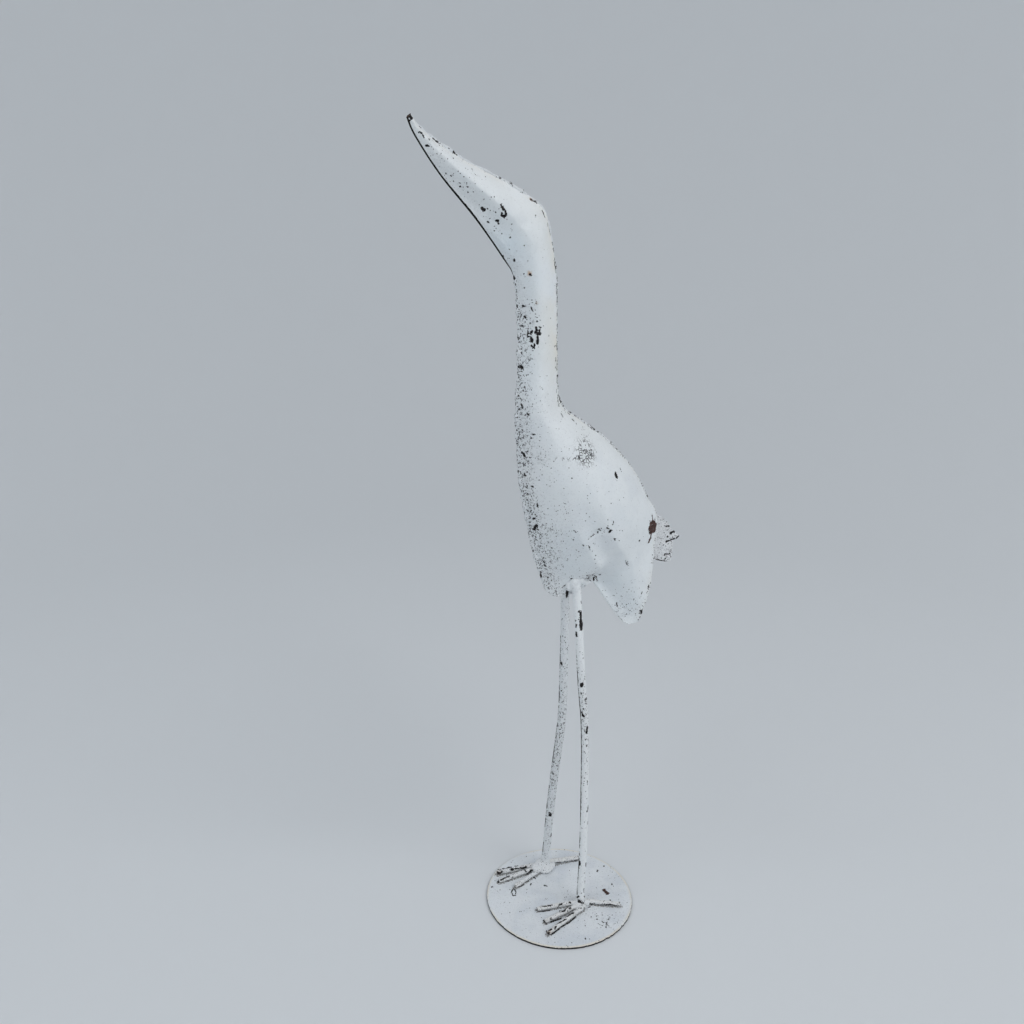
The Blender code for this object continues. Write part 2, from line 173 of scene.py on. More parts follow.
# Chips down to black iron on the left flank: a radius, then one or more places by forward and up
FLANK_CHIPS = (
    (1.1, 132.8, 600.0, 132.2, 598.6), (0.6, 131.9, 599.4, 130.9, 598.4), (0.7, 133.0, 597.0),
    (0.6, 127.9, 590.9, 126.2, 590.4), (0.35, 125.6, 589.2, 124.4, 587.6), (0.5, 121.1, 586.4),
    (0.45, 123.0, 583.3, 121.2, 582.8), (0.4, 119.3, 588.6, 117.2, 586.6, 115.9, 585.9),
    (0.7, 115.9, 585.8, 114.5, 585.0), (0.35, 113.1, 584.3), (0.5, 110.0, 567.2), (0.6, 107.1, 566.1),
    (0.65, 101.9, 562.4), (0.65, 100.6, 559.8), (0.55, 96.8, 559.9), (0.5, 95.6, 556.6),
    (0.5, 93.4, 557.0), (1.35, 85.5, 547.0, 85.3, 546.6), (0.9, 76.0, 549.0, 75.2, 547.6),
    (0.7, 75.0, 547.0, 73.4, 546.2, 72.7, 544.3), (1.0, 73.1, 543.4, 73.3, 542.4),
    (0.9, 74.6, 543.2, 74.3, 542.6), (0.6, 74.9, 544.8, 74.6, 543.6), (0.9, 77.0, 540.0, 75.9, 539.8),
    (0.7, 75.6, 538.0), (0.5, 81.9, 539.2, 81.2, 538.4), (0.5, 80.8, 541.0), (0.5, 77.0, 533.4),
    (0.6, 67.8, 529.3), (0.45, 59.3, 525.1), (0.45, 67.2, 522.2), (0.5, 66.2, 516.3),
    (0.8, 62.9, 515.0, 62.3, 514.6), (0.7, 69.2, 517.5), (0.9, 60.6, 503.9, 59.8, 502.6),
    (0.6, 47.5, 551.3, 46.0, 550.4), (0.45, 42.6, 545.6, 41.0, 541.8), (0.35, 50.1, 543.4, 50.1, 541.8),
    (0.4, 38.3, 538.2, 38.0, 535.6), (0.45, 31.2, 513.4, 31.0, 510.8, 30.4, 506.6),
    (0.35, 36.9, 534.6, 35.2, 530.4), (0.4, 33.3, 526.0, 32.2, 521.0), (0.4, 29.7, 499.0, 29.2, 494.6),
    (0.35, 28.3, 489.4, 27.9, 484.2), (0.4, 27.5, 480.4, 27.4, 476.0), (0.35, 27.2, 471.8, 27.1, 468.4),
    (0.35, 26.9, 458.0, 26.7, 453.2), (0.4, 26.5, 447.0, 26.2, 440.4), (0.4, 26.0, 436.8, 25.7, 431.0),
    (0.4, 25.6, 421.4, 25.4, 415.6), (0.35, 25.2, 411.6, 24.6, 409.0), (0.5, 29.9, 505.7),
    (0.45, 28.6, 502.7, 28.5, 500.6), (0.6, 28.6, 494.2, 28.5, 492.3), (0.7, 53.7, 506.4, 53.2, 506.3),
    (0.5, 56.4, 506.3), (0.6, 55.2, 497.5), (0.5, 50.4, 487.9), (0.55, 55.2, 485.6, 54.0, 485.3),
    (0.6, 51.2, 484.8, 50.6, 483.4), (0.6, 55.4, 479.9), (0.6, 54.2, 478.9, 53.1, 477.6),
    (0.5, 48.3, 478.8), (0.5, 47.4, 475.6), (0.9, 47.9, 471.4, 47.3, 469.6),
    (1.1, 48.0, 468.6, 46.2, 468.0), (0.9, 45.6, 469.8, 45.2, 467.0), (0.8, 49.8, 469.0, 50.2, 467.4),
    (1.0, 50.2, 464.6, 49.4, 462.4), (0.9, 46.8, 465.2, 46.4, 461.4), (0.35, 51.6, 470.6, 51.9, 467.0),
    (0.4, 46.0, 472.4, 44.6, 471.4), (0.7, 49.6, 459.6, 48.8, 458.4), (0.7, 48.2, 460.4, 48.2, 458.0),
    (0.5, 54.9, 466.6), (0.6, 51.9, 468.2, 51.6, 465.4), (0.6, 53.5, 463.5),
    (0.5, 49.8, 451.4, 48.9, 450.4), (0.7, 55.0, 446.8), (1.15, 54.1, 444.4, 53.8, 443.8),
    (0.5, 55.0, 441.4), (0.5, 50.5, 446.4), (0.5, 50.2, 449.4), (0.45, 27.3, 463.8, 27.3, 462.4),
    (0.55, 30.1, 456.9), (0.55, 28.6, 457.7), (0.5, 28.3, 449.2, 28.3, 447.6), (0.5, 28.8, 442.4),
    (0.45, 26.9, 427.4, 26.8, 425.0), (0.55, 24.6, 423.4, 23.9, 421.2), (0.7, 22.8, 419.2, 22.0, 417.2),
    (0.5, 19.7, 411.4), (0.55, 16.6, 409.6, 15.6, 408.8), (0.5, 15.0, 405.6, 14.2, 404.6),
    (0.45, 12.5, 402.3), (0.6, 53.9, 418.4, 53.3, 416.4), (0.6, 51.0, 413.6, 50.2, 412.2),
    (0.6, 47.6, 399.1, 46.4, 399.0), (0.6, 48.2, 396.6), (0.6, 53.2, 394.3),
    (0.9, 52.2, 385.0, 51.4, 384.2, 50.8, 382.4), (0.6, 48.1, 381.9), (0.6, 50.1, 375.1),
    (0.8, 50.2, 369.4, 49.8, 367.4), (0.5, 52.0, 369.6), (0.6, 46.0, 360.6, 45.0, 360.2),
    (0.6, 46.5, 349.6), (0.6, 41.3, 346.8, 41.0, 345.2), (0.6, 44.0, 341.6),
    (0.8, 42.0, 335.2, 41.6, 335.0), (0.5, 35.3, 332.8), (1.2, 39.6, 330.4, 40.9, 326.6),
    (0.7, 29.3, 313.1), (0.6, 32.3, 300.2, 31.7, 299.4), (0.7, 31.1, 297.6, 30.6, 296.8),
    (0.8, 31.8, 288.6, 31.4, 286.0), (0.5, 35.7, 313.2), (1.5, -12.4, 367.3, -12.6, 366.0),
    (0.9, -12.8, 368.4, -12.2, 364.9), (0.35, -20.0, 370.0, -20.2, 367.6), (0.5, 25.0, 369.8),
    (0.5, 28.4, 350.8), (0.5, 26.8, 350.1), (0.45, -5.0, 349.1), (0.6, -6.5, 335.8, -6.7, 334.0),
    (0.4, -2.0, 334.0, -2.1, 331.4), (1.0, -4.6, 329.0, -4.8, 328.2), (0.6, -3.0, 330.6),
    (0.6, 3.5, 330.0), (0.5, -0.4, 328.4), (0.5, -6.2, 329.4), (0.55, -9.9, 322.2, -10.2, 321.0),
    (0.5, -13.8, 319.2), (0.5, -16.4, 327.4), (0.35, 9.9, 322.3, 6.6, 325.2, 3.3, 327.6),
    (0.4, 3.8, 328.2, 2.0, 328.8), (0.45, 19.4, 329.6, 18.2, 328.6), (0.45, 13.0, 318.2, 12.0, 317.4),
    (0.45, 8.8, 317.0, 7.8, 315.6), (0.6, 2.2, 305.4), (0.7, -40.2, 311.2, -41.6, 310.2),
    (0.35, -28.2, 297.2, -31.6, 292.6), (0.35, -31.4, 296.0, -34.0, 291.0), (0.7, 0.4, 288.0, -0.6, 287.6),
    (0.8, -6.0, 286.0, -8.0, 286.2), (0.6, -9.4, 287.6), (0.6, 11.4, 285.6, 10.4, 285.4),
    (0.35, 16.1, 277.8, 13.7, 280.2, 9.5, 282.3, 3.2, 283.6), (0.3, 1.4, 284.4, -4.9, 283.8, -9.0, 283.4),
    (0.3, -11.0, 282.6, -13.7, 281.2, -15.6, 276.6), (0.3, 0.1, 280.7, -3.6, 280.4),
    (0.3, -6.4, 279.9, -9.2, 278.6), (0.5, 5.7, 287.1), (0.7, -3.0, 283.0, -4.4, 282.8),
    (0.9, -11.5, 280.6, -11.8, 278.2), (0.6, -15.2, 283.4), (0.5, -32.3, 256.6, -32.6, 253.8),
    (0.55, -41.1, 245.7), (0.6, -36.1, 243.3), (0.8, -51.2, 248.8, -52.6, 248.4, -52.2, 246.0),
    (0.55, -50.0, 241.2), (0.45, -50.9, 265.2, -50.9, 263.4), (0.6, -58.4, 268.0, -58.1, 265.8),
    (0.5, -54.3, 254.7), (0.4, -57.2, 263.2),
)

# Chips down to red-brown iron, in the same form
BROWN_CHIPS = (
    (1.0, 50.9, 552.5, 49.6, 552.3), (0.35, 48.4, 488.4, 48.2, 487.6), (0.3, 49.6, 486.6),
    (0.8, -61.8, 321.0, -61.0, 318.4), (1.7, -54.2, 320.0, -62.0, 318.4),
    (2.3, -53.2, 316.6, -64.0, 314.6), (1.7, -55.2, 313.0, -63.4, 311.4),
    (0.8, -58.4, 321.2, -57.0, 325.2), (0.6, -54.0, 319.0, -53.2, 323.0),
    (1.1, -57.2, 311.0, -57.6, 306.6), (1.3, -57.0, 306.2, -56.0, 304.6),
)

# Rust stains round a chip, in the same form
STAINS = (
    (1.3, 53.6, 506.7), (0.4, 48.3, 488.2, 48.2, 487.6), (0.9, 50.4, 552.4),
)

# Small faults in the paint that stand close together: centre (forward, up), reach, share of the surface
WORN_AREAS = (
    (12.0, 387.0, 9.0, 0.5), (14.0, 380.0, 7.0, 0.5), (40.0, 383.0, 6.0, 0.35), (53.0, 479.0, 7.0, 0.6),
    (100.0, 560.0, 16.0, 0.35), (116.0, 576.0, 9.0, 0.4), (80.0, 540.0, 9.0, 0.3),
    (36.0, 330.0, 16.0, 0.3), (28.0, 302.0, 14.0, 0.35), (50.0, 384.0, 12.0, 0.3),
    (-3.0, 329.0, 7.0, 0.45), (-4.0, 284.0, 9.0, 0.8), (-36.0, 245.0, 9.0, 0.55),
    (-52.0, 250.0, 7.0, 0.45), (-36.0, 262.0, 16.0, 0.4), (30.0, 318.0, 22.0, 0.2),
    (-8.0, 281.0, 7.0, 0.5),
)

# Bluish colour on faces that turn from the light: painted cool shade with some of the paint's own blue, in
# the same form as the hammered forms, with shares for heights
COOL_TINT_AND_SHADE_AREAS = (
    (9.0, False, ((78.0, 532.0, 0.6), (68.0, 524.0, 1.0), (62.0, 512.0, 0.5))),
    (16.0, False, ((44.0, 330.0, 0.4), (20.0, 300.0, 0.5))),
    (12.0, False, ((-26.0, 276.0, 0.4), (-40.0, 256.0, 0.4))),
    (7.0, False, ((54.0, 500.0, 0.4), (54.0, 440.0, 0.5), (53.0, 380.0, 0.3))),
)

# Crackled paint on the body: the patch's centre (forward, up) and reach, and the line that leads from it
CRACKLE_PATCH = (12.5, 386.0, 8.5)
CRACKLE_LINE = ((1.2, False, ((34.0, 382.6, 0.9), (19.0, 383.6, 0.9))),)


def read_curve(rows, places):
    """Reads rows of numbers at places from 0 to the last row, on a smooth curve through them all."""
    rows = np.asarray(rows, float)
    places = np.asarray(places, float)
    last = len(rows) - 1
    low = np.clip(places.astype(int), 0, last - 1)
    t = (places - low)[..., None]
    before, start = rows[np.maximum(low - 1, 0)], rows[low]
    end, after = rows[low + 1], rows[np.minimum(low + 2, last)]
    bend = 2 * before - 5 * start + 4 * end - after
    turn = 3 * start - before - 3 * end + after
    return start + 0.5 * t * ((end - before) + t * (bend + t * turn))


def relief(forward, up, forms):
    """Summed height of forms at places on a flank."""
    height = np.zeros_like(forward)
    for reach, crisp, line in forms:
        nearest = np.full_like(forward, np.inf)
        rise = np.zeros_like(forward)
        for (from_f, from_u, from_rise), (to_f, to_u, to_rise) in zip(line, line[1:]):
            run_f, run_u = to_f - from_f, to_u - from_u
            along = ((forward - from_f) * run_f + (up - from_u) * run_u) / (run_f**2 + run_u**2)
            along = held(along)
            away = np.hypot(forward - from_f - along * run_f, up - from_u - along * run_u)
            rise = np.where(away < nearest, from_rise + (to_rise - from_rise) * along, rise)
            nearest = np.minimum(away, nearest)
        if crisp:
            height += rise * np.exp(-np.hypot(nearest, FOLD_SOFTNESS) / reach)
        else:
            height += rise * bell(nearest, reach)
    return height


def flank_surface(side_name, places, shares, inner):
    """Forward, left (outward) and up of a flank at stations x shares across, in millimetres."""
    last = len(STATIONS) - 1
    rows = read_curve(STATIONS, places)
    front, back = rows[:, 0:2], rows[:, 2:4]
    bulge, ridge, front_full, back_full = rows[:, 4:8].T
    chord = np.linalg.norm(back - front, axis=1)
    closed = CLEARANCE / 2
    spread_front = closed + (BEAK_SLIT / 2 - closed) * held(SLIT_END - places)
    spread_front += (CORNER_SPREAD - closed) * (np.maximum(places - last + 2, 0) / 2) ** 2
    wing = read_curve([(0.0,)] + [(s,) for s in WING_SPREAD], np.maximum(places - TAIL_STATION + 1, 0))[:, 0]
    tail_gap = SHEET / 2 + CLEARANCE - closed
    opening = places > TAIL_STATION - 1
    spread_back = closed + opening * (wing + tail_gap * held(places - TAIL_STATION + 1))
    opened = held(places - TAIL_STATION)
    lower = np.maximum(places - (last - 3), 0) / 3
    inset_front = inset_back = thinner = np.zeros_like(places)
    if inner:
        slope_front = front_full * bulge / (ridge * chord)
        slope_back = back_full * bulge / ((1 - ridge) * chord)
        inset_front = np.minimum(SHEET / np.sin(np.arctan(slope_front)) / chord, 0.22)
        inset_back = np.minimum(SHEET / np.sin(np.arctan(slope_back)) / chord, 0.22) * (1 - opened)
        thinner = np.minimum(SHEET, 0.45 * bulge)
    share = shares[None, :]
    plain = inset_front[:, None] + (1 - inset_front - inset_back)[:, None] * share
    edge = read_curve(LOWER_EDGE, plain * (len(LOWER_EDGE) - 1))
    first, final = np.array(LOWER_EDGE[0]), np.array(LOWER_EDGE[-1])
    weight = (lower**2)[:, None, None]
    point = front[:, None, :] + (back - front)[:, None, :] * plain[..., None]
    point = point + weight * (edge - first - (final - first) * plain[..., None])
    point = point + weight * plain[..., None] * np.array(WING_TIP_MOVE[side_name])
    ahead = 1 - np.maximum(1 - share / ridge[:, None], 0) ** front_full[:, None]
    behind = 1 - np.maximum(1 - (1 - share) / (1 - ridge[:, None]), 0) ** back_full[:, None]
    form = np.where(share < ridge[:, None], ahead, behind)
    out = spread_front[:, None] + (spread_back - spread_front)[:, None] * plain
    out = out + (bulge - thinner)[:, None] * form
    out -= (thinner * opened)[:, None] * share * (1 - form)
    raised = relief(point[..., 0], point[..., 1], FORMS)
    if not inner:
        raised = raised + relief(point[..., 0], point[..., 1], CREASES)
    out += raised * np.minimum(4 * form, 1.0)
    return np.stack([point[..., 0], out, point[..., 1]], axis=-1)


def to_frame(points, sign=1):
    """Metres in the frame for places (forward, outward, up) in millimetres on the side given by the sign."""
    points = np.asarray(points, float)
    made = np.empty_like(points)
    made[..., 0] = MIDDLE.x + sign * points[..., 1]
    made[..., 1] = MIDDLE.y - points[..., 0]
    made[..., 2] = MIDDLE.z + points[..., 2]
    return made * MM


def places_of(points):
    """Places (forward, left, up) of points in millimetres in the frame."""
    return np.stack([MIDDLE.y - points[:, 1], points[:, 0] - MIDDLE.x, points[:, 2] - MIDDLE.z], axis=1)


def noise_at(points, wavelength, seed):
    """Smooth noise from -1 to 1 at places in millimetres."""
    shift = Vector((seed * 17.3, seed * 5.9, seed * 11.1))
    values = [noise.noise(Vector(p) / wavelength + shift) for p in points.reshape(-1, 3)]
    return np.array(values).reshape(points.shape[:-1])


def held(values):
    """Values held between 0 and 1."""
    return np.clip(values, 0, 1)


def bell(away, reach):
    """1 at no distance, and smoothly down to 0 beyond the reach."""
    return np.exp(-((away / reach) ** 2))


def read_marks(rows, width):
    """Marks, each its radius and a line of places, from rows of plain numbers."""
    return [(radius, np.reshape(numbers, (-1, width))) for radius, *numbers in rows]


def marks_at(points, marks):
    """Millimetres inside the nearest mark, negative outside. A mark is its radius and a line of places."""
    inside = np.full(len(points), NO_MARK)
    for radius, line in marks:
        if len(line) == 1:
            away = np.linalg.norm(points - line[0], axis=1)
            inside = np.maximum(inside, radius - away)
        for start, end in zip(line, line[1:]):
            run = end - start
            along = held((points - start) @ run / max(run @ run, 1e-9))
            away = np.linalg.norm(points - start - along[:, None] * run, axis=1)
            inside = np.maximum(inside, radius - away)
    return inside


def add_piece(name, points, faces, slot, nodes, values, sharp):
    """A mesh piece in one of the paints. It rides on the statue and stands for CAD nodes."""
    mesh = bpy.data.meshes.new(name)
    mesh.from_pydata([tuple(p) for p in points], [], faces)
    form = bmesh.new()
    form.from_mesh(mesh)
    bmesh.ops.recalc_face_normals(form, faces=form.faces)
    form.to_mesh(mesh)
    form.free()
    unmarked = {"chip": NO_MARK, "brown": NO_MARK, "stain": NO_MARK}
    for key, given in {**unmarked, **values}.items():
        attribute = mesh.attributes.new(key, "FLOAT", "POINT")
        attribute.data.foreach_set("value", np.full(len(points), given, np.float32))
    mesh.shade_smooth()
    mesh.set_sharp_from_angle(angle=math.radians(sharp))
    mesh.materials.append(PAINTS[slot])
    piece = bpy.data.objects.new(name, mesh)
    bpy.context.collection.objects.link(piece)
    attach(piece, "root")
    if nodes:
        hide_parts(*nodes)
    return piece


# Materials

# How far the finer patterns are bent out of straight, in metres, and the depth of a chip in millimetres
PATTERN_BEND = 0.0014
CHIP_DEPTH = 0.16


class Nodes:
    """Short calls for building one material's nodes."""

    def __init__(self, name):
        self.material = bpy.data.materials.new(name)
        self.material.use_nodes = True
        self.tree = self.material.node_tree
        self.shader = self.tree.nodes["Principled BSDF"]

    def add(self, kind, **inputs):
        node = self.tree.nodes.new(kind)
        for key, value in inputs.items():
            self.put(node, key.replace("_", " "), value)
        return node

    def put(self, node, key, value):
        socket = node.inputs[int(key) if key.isdigit() else key]
        if isinstance(value, bpy.types.NodeSocket):
            self.tree.links.new(value, socket)
        elif socket.type == "RGBA":
            socket.default_value = (*value, 1.0)
        else:
            socket.default_value = value

    def math(self, operation, *given):
        node = self.tree.nodes.new("ShaderNodeMath")
        node.operation = operation
        for key, value in zip("012", given):
            self.put(node, key, value)
        return node.outputs[0]

    def times(self, a, b):
        return self.math("MULTIPLY", a, b)

    def plus(self, a, b):
        return self.math("ADD", a, b)

    def most(self, a, b):
        return self.math("MAXIMUM", a, b)

    def scaled(self, value, factor, more):
        return self.math("MULTIPLY_ADD", value, factor, more)

    def step(self, value, low, high):
        """0 below low, 1 above high, and smooth between."""
        node = self.tree.nodes.new("ShaderNodeMapRange")
        node.interpolation_type = "SMOOTHSTEP"
        for key, given in zip("01234", (value, low, high, 0.0, 1.0)):
            self.put(node, key, given)
        return node.outputs[0]

    def mix(self, share, a, b):
        node = self.tree.nodes.new("ShaderNodeMix")
        node.data_type = "RGBA"
        for key, given in zip("067", (share, a, b)):
            self.put(node, key, given)
        return node.outputs[2]

    def value(self, name):
        node = self.tree.nodes.new("ShaderNodeAttribute")
        node.attribute_name = name
        return node.outputs["Fac"]

    def noise(self, where, millimetres, detail=2.0, rough=0.5, output="Fac"):
        scale = 1000.0 / millimetres
        node = self.add("ShaderNodeTexNoise", Vector=where, Scale=scale, Detail=detail, Roughness=rough)
        return node.outputs[output]

    def cells(self, where, millimetres, feature="F1"):
        node = self.tree.nodes.new("ShaderNodeTexVoronoi")
        node.feature = feature
        self.put(node, "Vector", where)
        self.put(node, "Scale", 1000.0 / millimetres)
        return node

    def done(self, colour, roughness, height, strength, distance):
        """Puts a colour, a roughness and a bump of a height on the shader."""
        self.put(self.shader, "Base Color", colour)
        self.put(self.shader, "Roughness", roughness)
        bump = self.add("ShaderNodeBump", Height=height, Strength=strength, Distance=distance)
        self.put(self.shader, "Normal", bump.outputs[0])
        return self.material


def worn_paint(name, white, shade, cream, speck_share):
    """White paint on iron: chips, specks, crackle, rust stains, dirt with painted contact shadow, painted
    cool shade and a painted highlight come from the mesh's values.
    """
    n = Nodes(name)
    where = n.add("ShaderNodeTexCoord").outputs["Object"]
    bend = n.tree.nodes.new("ShaderNodeVectorMath")
    bend.operation = "MULTIPLY_ADD"
    for key, given in zip("012", (n.noise(where, 1.8, output="Color"), (PATTERN_BEND,) * 3, where)):
        n.put(bend, key, given)
    bent = bend.outputs[0]

    # Paint colour: broad cool and cream areas, fine mottling, a bluish tint of painted cool shade, a painted
    # highlight in the rough places, and grime in them
    broad = n.noise(where, 38.0, 3.0, 0.6)
    fine = n.noise(where, 3.2, 4.0, 0.65)
    tone = n.mix(n.step(broad, 0.42, 0.66), white, shade)
    tone = n.mix(n.times(n.value("cream"), n.step(broad, 0.30, 0.62)), tone, cream)
    # Bluish tint: painted cool shade where the flanks turn from the light, with some of the paint's own blue
    tone = n.mix(n.times(n.value("cool_paint_and_shade"), 0.75), tone, (0.62, 0.73, 0.80))
    tone = n.mix(n.times(n.step(fine, 0.50, 0.78), 0.16), tone, (0.50, 0.53, 0.55))
    rough = n.value("rough")
    pores = n.noise(bent, 1.3, 3.0, 0.7)
    # Painted highlight: the rough places are lightened, standing for light caught by the lumpy paint
    tone = n.mix(n.times(rough, 0.5), tone, (0.93, 0.95, 0.97))
    tone = n.mix(n.times(n.step(pores, 0.54, 0.64), n.times(rough, 0.30)), tone, (0.34, 0.37, 0.40))

    # Orange stains, and dark dirt that also stands for painted contact shadow under the toes
    stain = n.plus(n.value("stain"), n.times(n.noise(bent, 2.4, 3.0, 0.6), 3.0))
    tone = n.mix(n.times(n.step(stain, 0.4, 3.0), 0.95), tone, (0.50, 0.24, 0.05))
    dirt_and_contact_shadow = n.plus(n.value("dirt_and_contact_shadow"), n.times(n.math("SUBTRACT", pores, 0.5), 2.2))
    tone = n.mix(n.times(n.step(dirt_and_contact_shadow, 0.25, 0.8), 0.85), tone, (0.12, 0.09, 0.06))

    # Chips with ragged edges, and scattered specks in three sizes
    ragged = n.math("SUBTRACT", n.noise(where, 2.0, 3.0, 0.62), 0.5)
    frayed = n.math("SUBTRACT", n.noise(where, 0.9, 2.0, 0.6), 0.5)
    edge = n.scaled(frayed, 2.0, n.times(ragged, 1.7))
    chipped = n.step(n.plus(n.value("chip"), edge), -0.08, 0.10)
    share = n.times(n.value("speck"), speck_share)
    for millimetres, least, most in ((3.1, 0.06, 0.13), (1.7, 0.12, 0.17), (1.15, 0.18, 0.22)):
        cells = n.cells(bent, millimetres)
        split = n.add("ShaderNodeSeparateColor", Color=cells.outputs["Color"])
        size = n.scaled(split.outputs[0], most, least)
        kept = n.math("LESS_THAN", split.outputs[1], share)
        near = n.step(n.math("SUBTRACT", size, cells.outputs["Distance"]), 0.0, 0.05)
        chipped = n.most(chipped, n.times(near, kept))

    # Crackle in its own patches, short curls of it among the specks, and paint rubbed off in bare places
    lines = n.cells(bent, 2.3, "DISTANCE_TO_EDGE").outputs["Distance"]
    crackle = n.math("SUBTRACT", 1.0, n.step(lines, 0.06, 0.13))
    curls = n.times(crackle, n.step(n.noise(where, 1.9, 2.0), 0.54, 0.60))
    curls = n.times(curls, n.step(n.value("speck"), 0.12, 0.5))
    broken = n.step(n.noise(where, 4.0, 2.0), 0.44, 0.50)
    crackle = n.times(n.times(crackle, broken), n.value("crackle"))
    chipped = n.most(chipped, n.most(crackle, curls))
    bare = n.plus(n.value("bare"), n.times(ragged, 1.2))
    chipped = n.most(chipped, n.step(bare, 0.42, 0.55))

    iron = n.mix(n.step(pores, 0.5, 0.75), (0.008, 0.007, 0.008), (0.040, 0.024, 0.018))
    brown = n.mix(n.step(pores, 0.46, 0.62), (0.030, 0.011, 0.008), (0.115, 0.045, 0.032))
    browned = n.step(n.plus(n.value("brown"), n.times(edge, 1.7)), -0.1, 0.1)
    worn = n.most(chipped, browned)
    colour = n.mix(worn, tone, n.mix(browned, iron, brown))
    roughness = n.scaled(worn, 0.18, n.scaled(fine, 0.16, 0.50))
    n.shader.inputs["Specular IOR Level"].default_value = 0.38

    # Height in millimetres: chips lie below the paint, which is rough in places
    height = n.scaled(n.times(rough, pores), 1.3, n.times(worn, -CHIP_DEPTH))
    height = n.scaled(broad, 0.5, n.scaled(fine, 0.16, height))
    return n.done(colour, roughness, height, 1.0, MM)


def bare_iron(name):
    """Old unpainted iron inside the bird, with rust and thin overspray."""
    n = Nodes(name)
    where = n.add("ShaderNodeTexCoord").outputs["Object"]
    broad = n.noise(where, 14.0, 4.0, 0.6)
    fine = n.noise(where, 2.0, 4.0, 0.6)
    spray = n.plus(n.value("spray"), n.times(n.math("SUBTRACT", broad, 0.5), 1.6))
    colour = n.mix(n.step(broad, 0.40, 0.65), (0.055, 0.040, 0.032), (0.14, 0.075, 0.045))
    colour = n.mix(n.times(n.step(fine, 0.55, 0.75), 0.5), colour, (0.30, 0.28, 0.26))
    colour = n.mix(n.step(spray, 0.2, 0.75), colour, (0.52, 0.56, 0.58))
    return n.done(colour, n.scaled(fine, 0.2, 0.65), fine, 0.5, 0.2 * MM)


# The paints by finish slot: white, its cool shade, cream, and the share of specks that show
PAINTS = {
    name: worn_paint(name, *looks)
    for name, *looks in (
        ("bird_paint", (0.83, 0.87, 0.89), (0.77, 0.82, 0.86), (0.84, 0.82, 0.74), 1.0),
        ("rod_paint", (0.88, 0.91, 0.92), (0.82, 0.86, 0.89), (0.84, 0.80, 0.70), 1.0),
        ("base_paint", (0.83, 0.88, 0.92), (0.68, 0.75, 0.83), (0.84, 0.79, 0.66), 0.8),
        ("tail_paint", (0.92, 0.94, 0.96), (0.85, 0.88, 0.91), (0.88, 0.85, 0.76), 1.0),
    )
}
INSIDE = bare_iron("inside_iron")


# Flanks


def shares_across(count):
    even = np.linspace(0, 1, count + 1)
    gathered = (1 - np.cos(math.pi * even)) / 2
    return even + (gathered - even) * EDGE_GATHERING


def row_places():
    """Places of a flank's rows, the same distance apart down its middle."""
    fine = np.linspace(0, len(STATIONS) - 1, 800)
    rows = read_curve(STATIONS, fine)
    middle = (rows[:, 0:2] + rows[:, 2:4]) / 2
    gone = np.concatenate([[0], np.cumsum(np.linalg.norm(np.diff(middle, axis=0), axis=1))])
    return np.interp(np.linspace(0, gone[-1], ROWS + 1), gone, fine)


def softened(out, places):
    """The bulge with its ridge rounded off across the columns, most on the neck."""
    share = 0.25 + 0.75 * held(places - 3.5) * held(10 - places)
    share *= held(len(STATIONS) - 3 - places)
    rounded = out.copy()
    for _ in range(160):
        rounded[:, 1:-1] = (rounded[:, :-2] + 2 * rounded[:, 1:-1] + rounded[:, 2:]) / 4
    return out + (rounded - out) * share[:, None]


def grid_normals(grid):
    """Unit normals of a grid of points, pointing outward on the left side."""
    down = np.gradient(grid, axis=0)
    across = np.gradient(grid, axis=1)
    normal = np.cross(across, down)
    normal /= np.maximum(np.linalg.norm(normal, axis=-1, keepdims=True), 1e-9)
    return normal * np.where(np.mean(normal[..., 1]) < 0, -1.0, 1.0)


def quads(first, rows, columns):
    """Faces of a grid of points that starts at a vertex number."""
    made = []
    for i in range(rows):
        start = first + i * (columns + 1)
        for j in range(columns):
            a = start + j
            made.append((a, a + 1, a + columns + 2, a + columns + 1))
    return made


def scattered_marks(grid, count, seed, most):
    """Chips at places picked over a grid, more of them near its front edge."""
    pick = random.Random(seed)
    rows, columns = grid.shape[:2]
    made = []
    for _ in range(count):
        row = pick.randrange(4, rows - 4)
        column = int((columns - 1) * pick.random() ** 1.7)
        spot = grid[row, column]
        length = pick.uniform(0.0, 2.5)
        radius = pick.uniform(0.4, most)
        made.append((radius, np.array([spot, spot + (pick.uniform(-0.6, 0.6), 0, -length)])))
    return made


def on_grid(grid, rows):
    """Marks from rows of a radius and places by forward and up, laid on the grid's surface."""
    flat = grid.reshape(-1, 3)
    made = []
    for radius, spots in read_marks(rows, 2):
        nearest = [np.argmin((flat[:, 0] - forward) ** 2 + (flat[:, 2] - up) ** 2) for forward, up in spots]
        made.append((radius, flat[nearest]))
    return made


def flank_faces(first_inner, inner_columns):
    """Faces of a flank: the outer face, the inner one and the rims between them."""
    faces = quads(0, ROWS, COLUMNS) + quads(first_inner, ROWS, inner_columns)
    for outer_column, inner_column in ((0, 0), (COLUMNS, inner_columns)):
        for i in range(ROWS):
            a = i * (COLUMNS + 1) + outer_column
            b = first_inner + i * (inner_columns + 1) + inner_column
            faces.append((a, a + COLUMNS + 1, b + inner_columns + 1, b))
    for row in (0, ROWS):
        for j in range(inner_columns):
            a = row * (COLUMNS + 1) + j * INNER_SPAN
            b = first_inner + row * (inner_columns + 1) + j
            faces.append((*range(a, a + INNER_SPAN + 1), b + 1, b))
    return faces


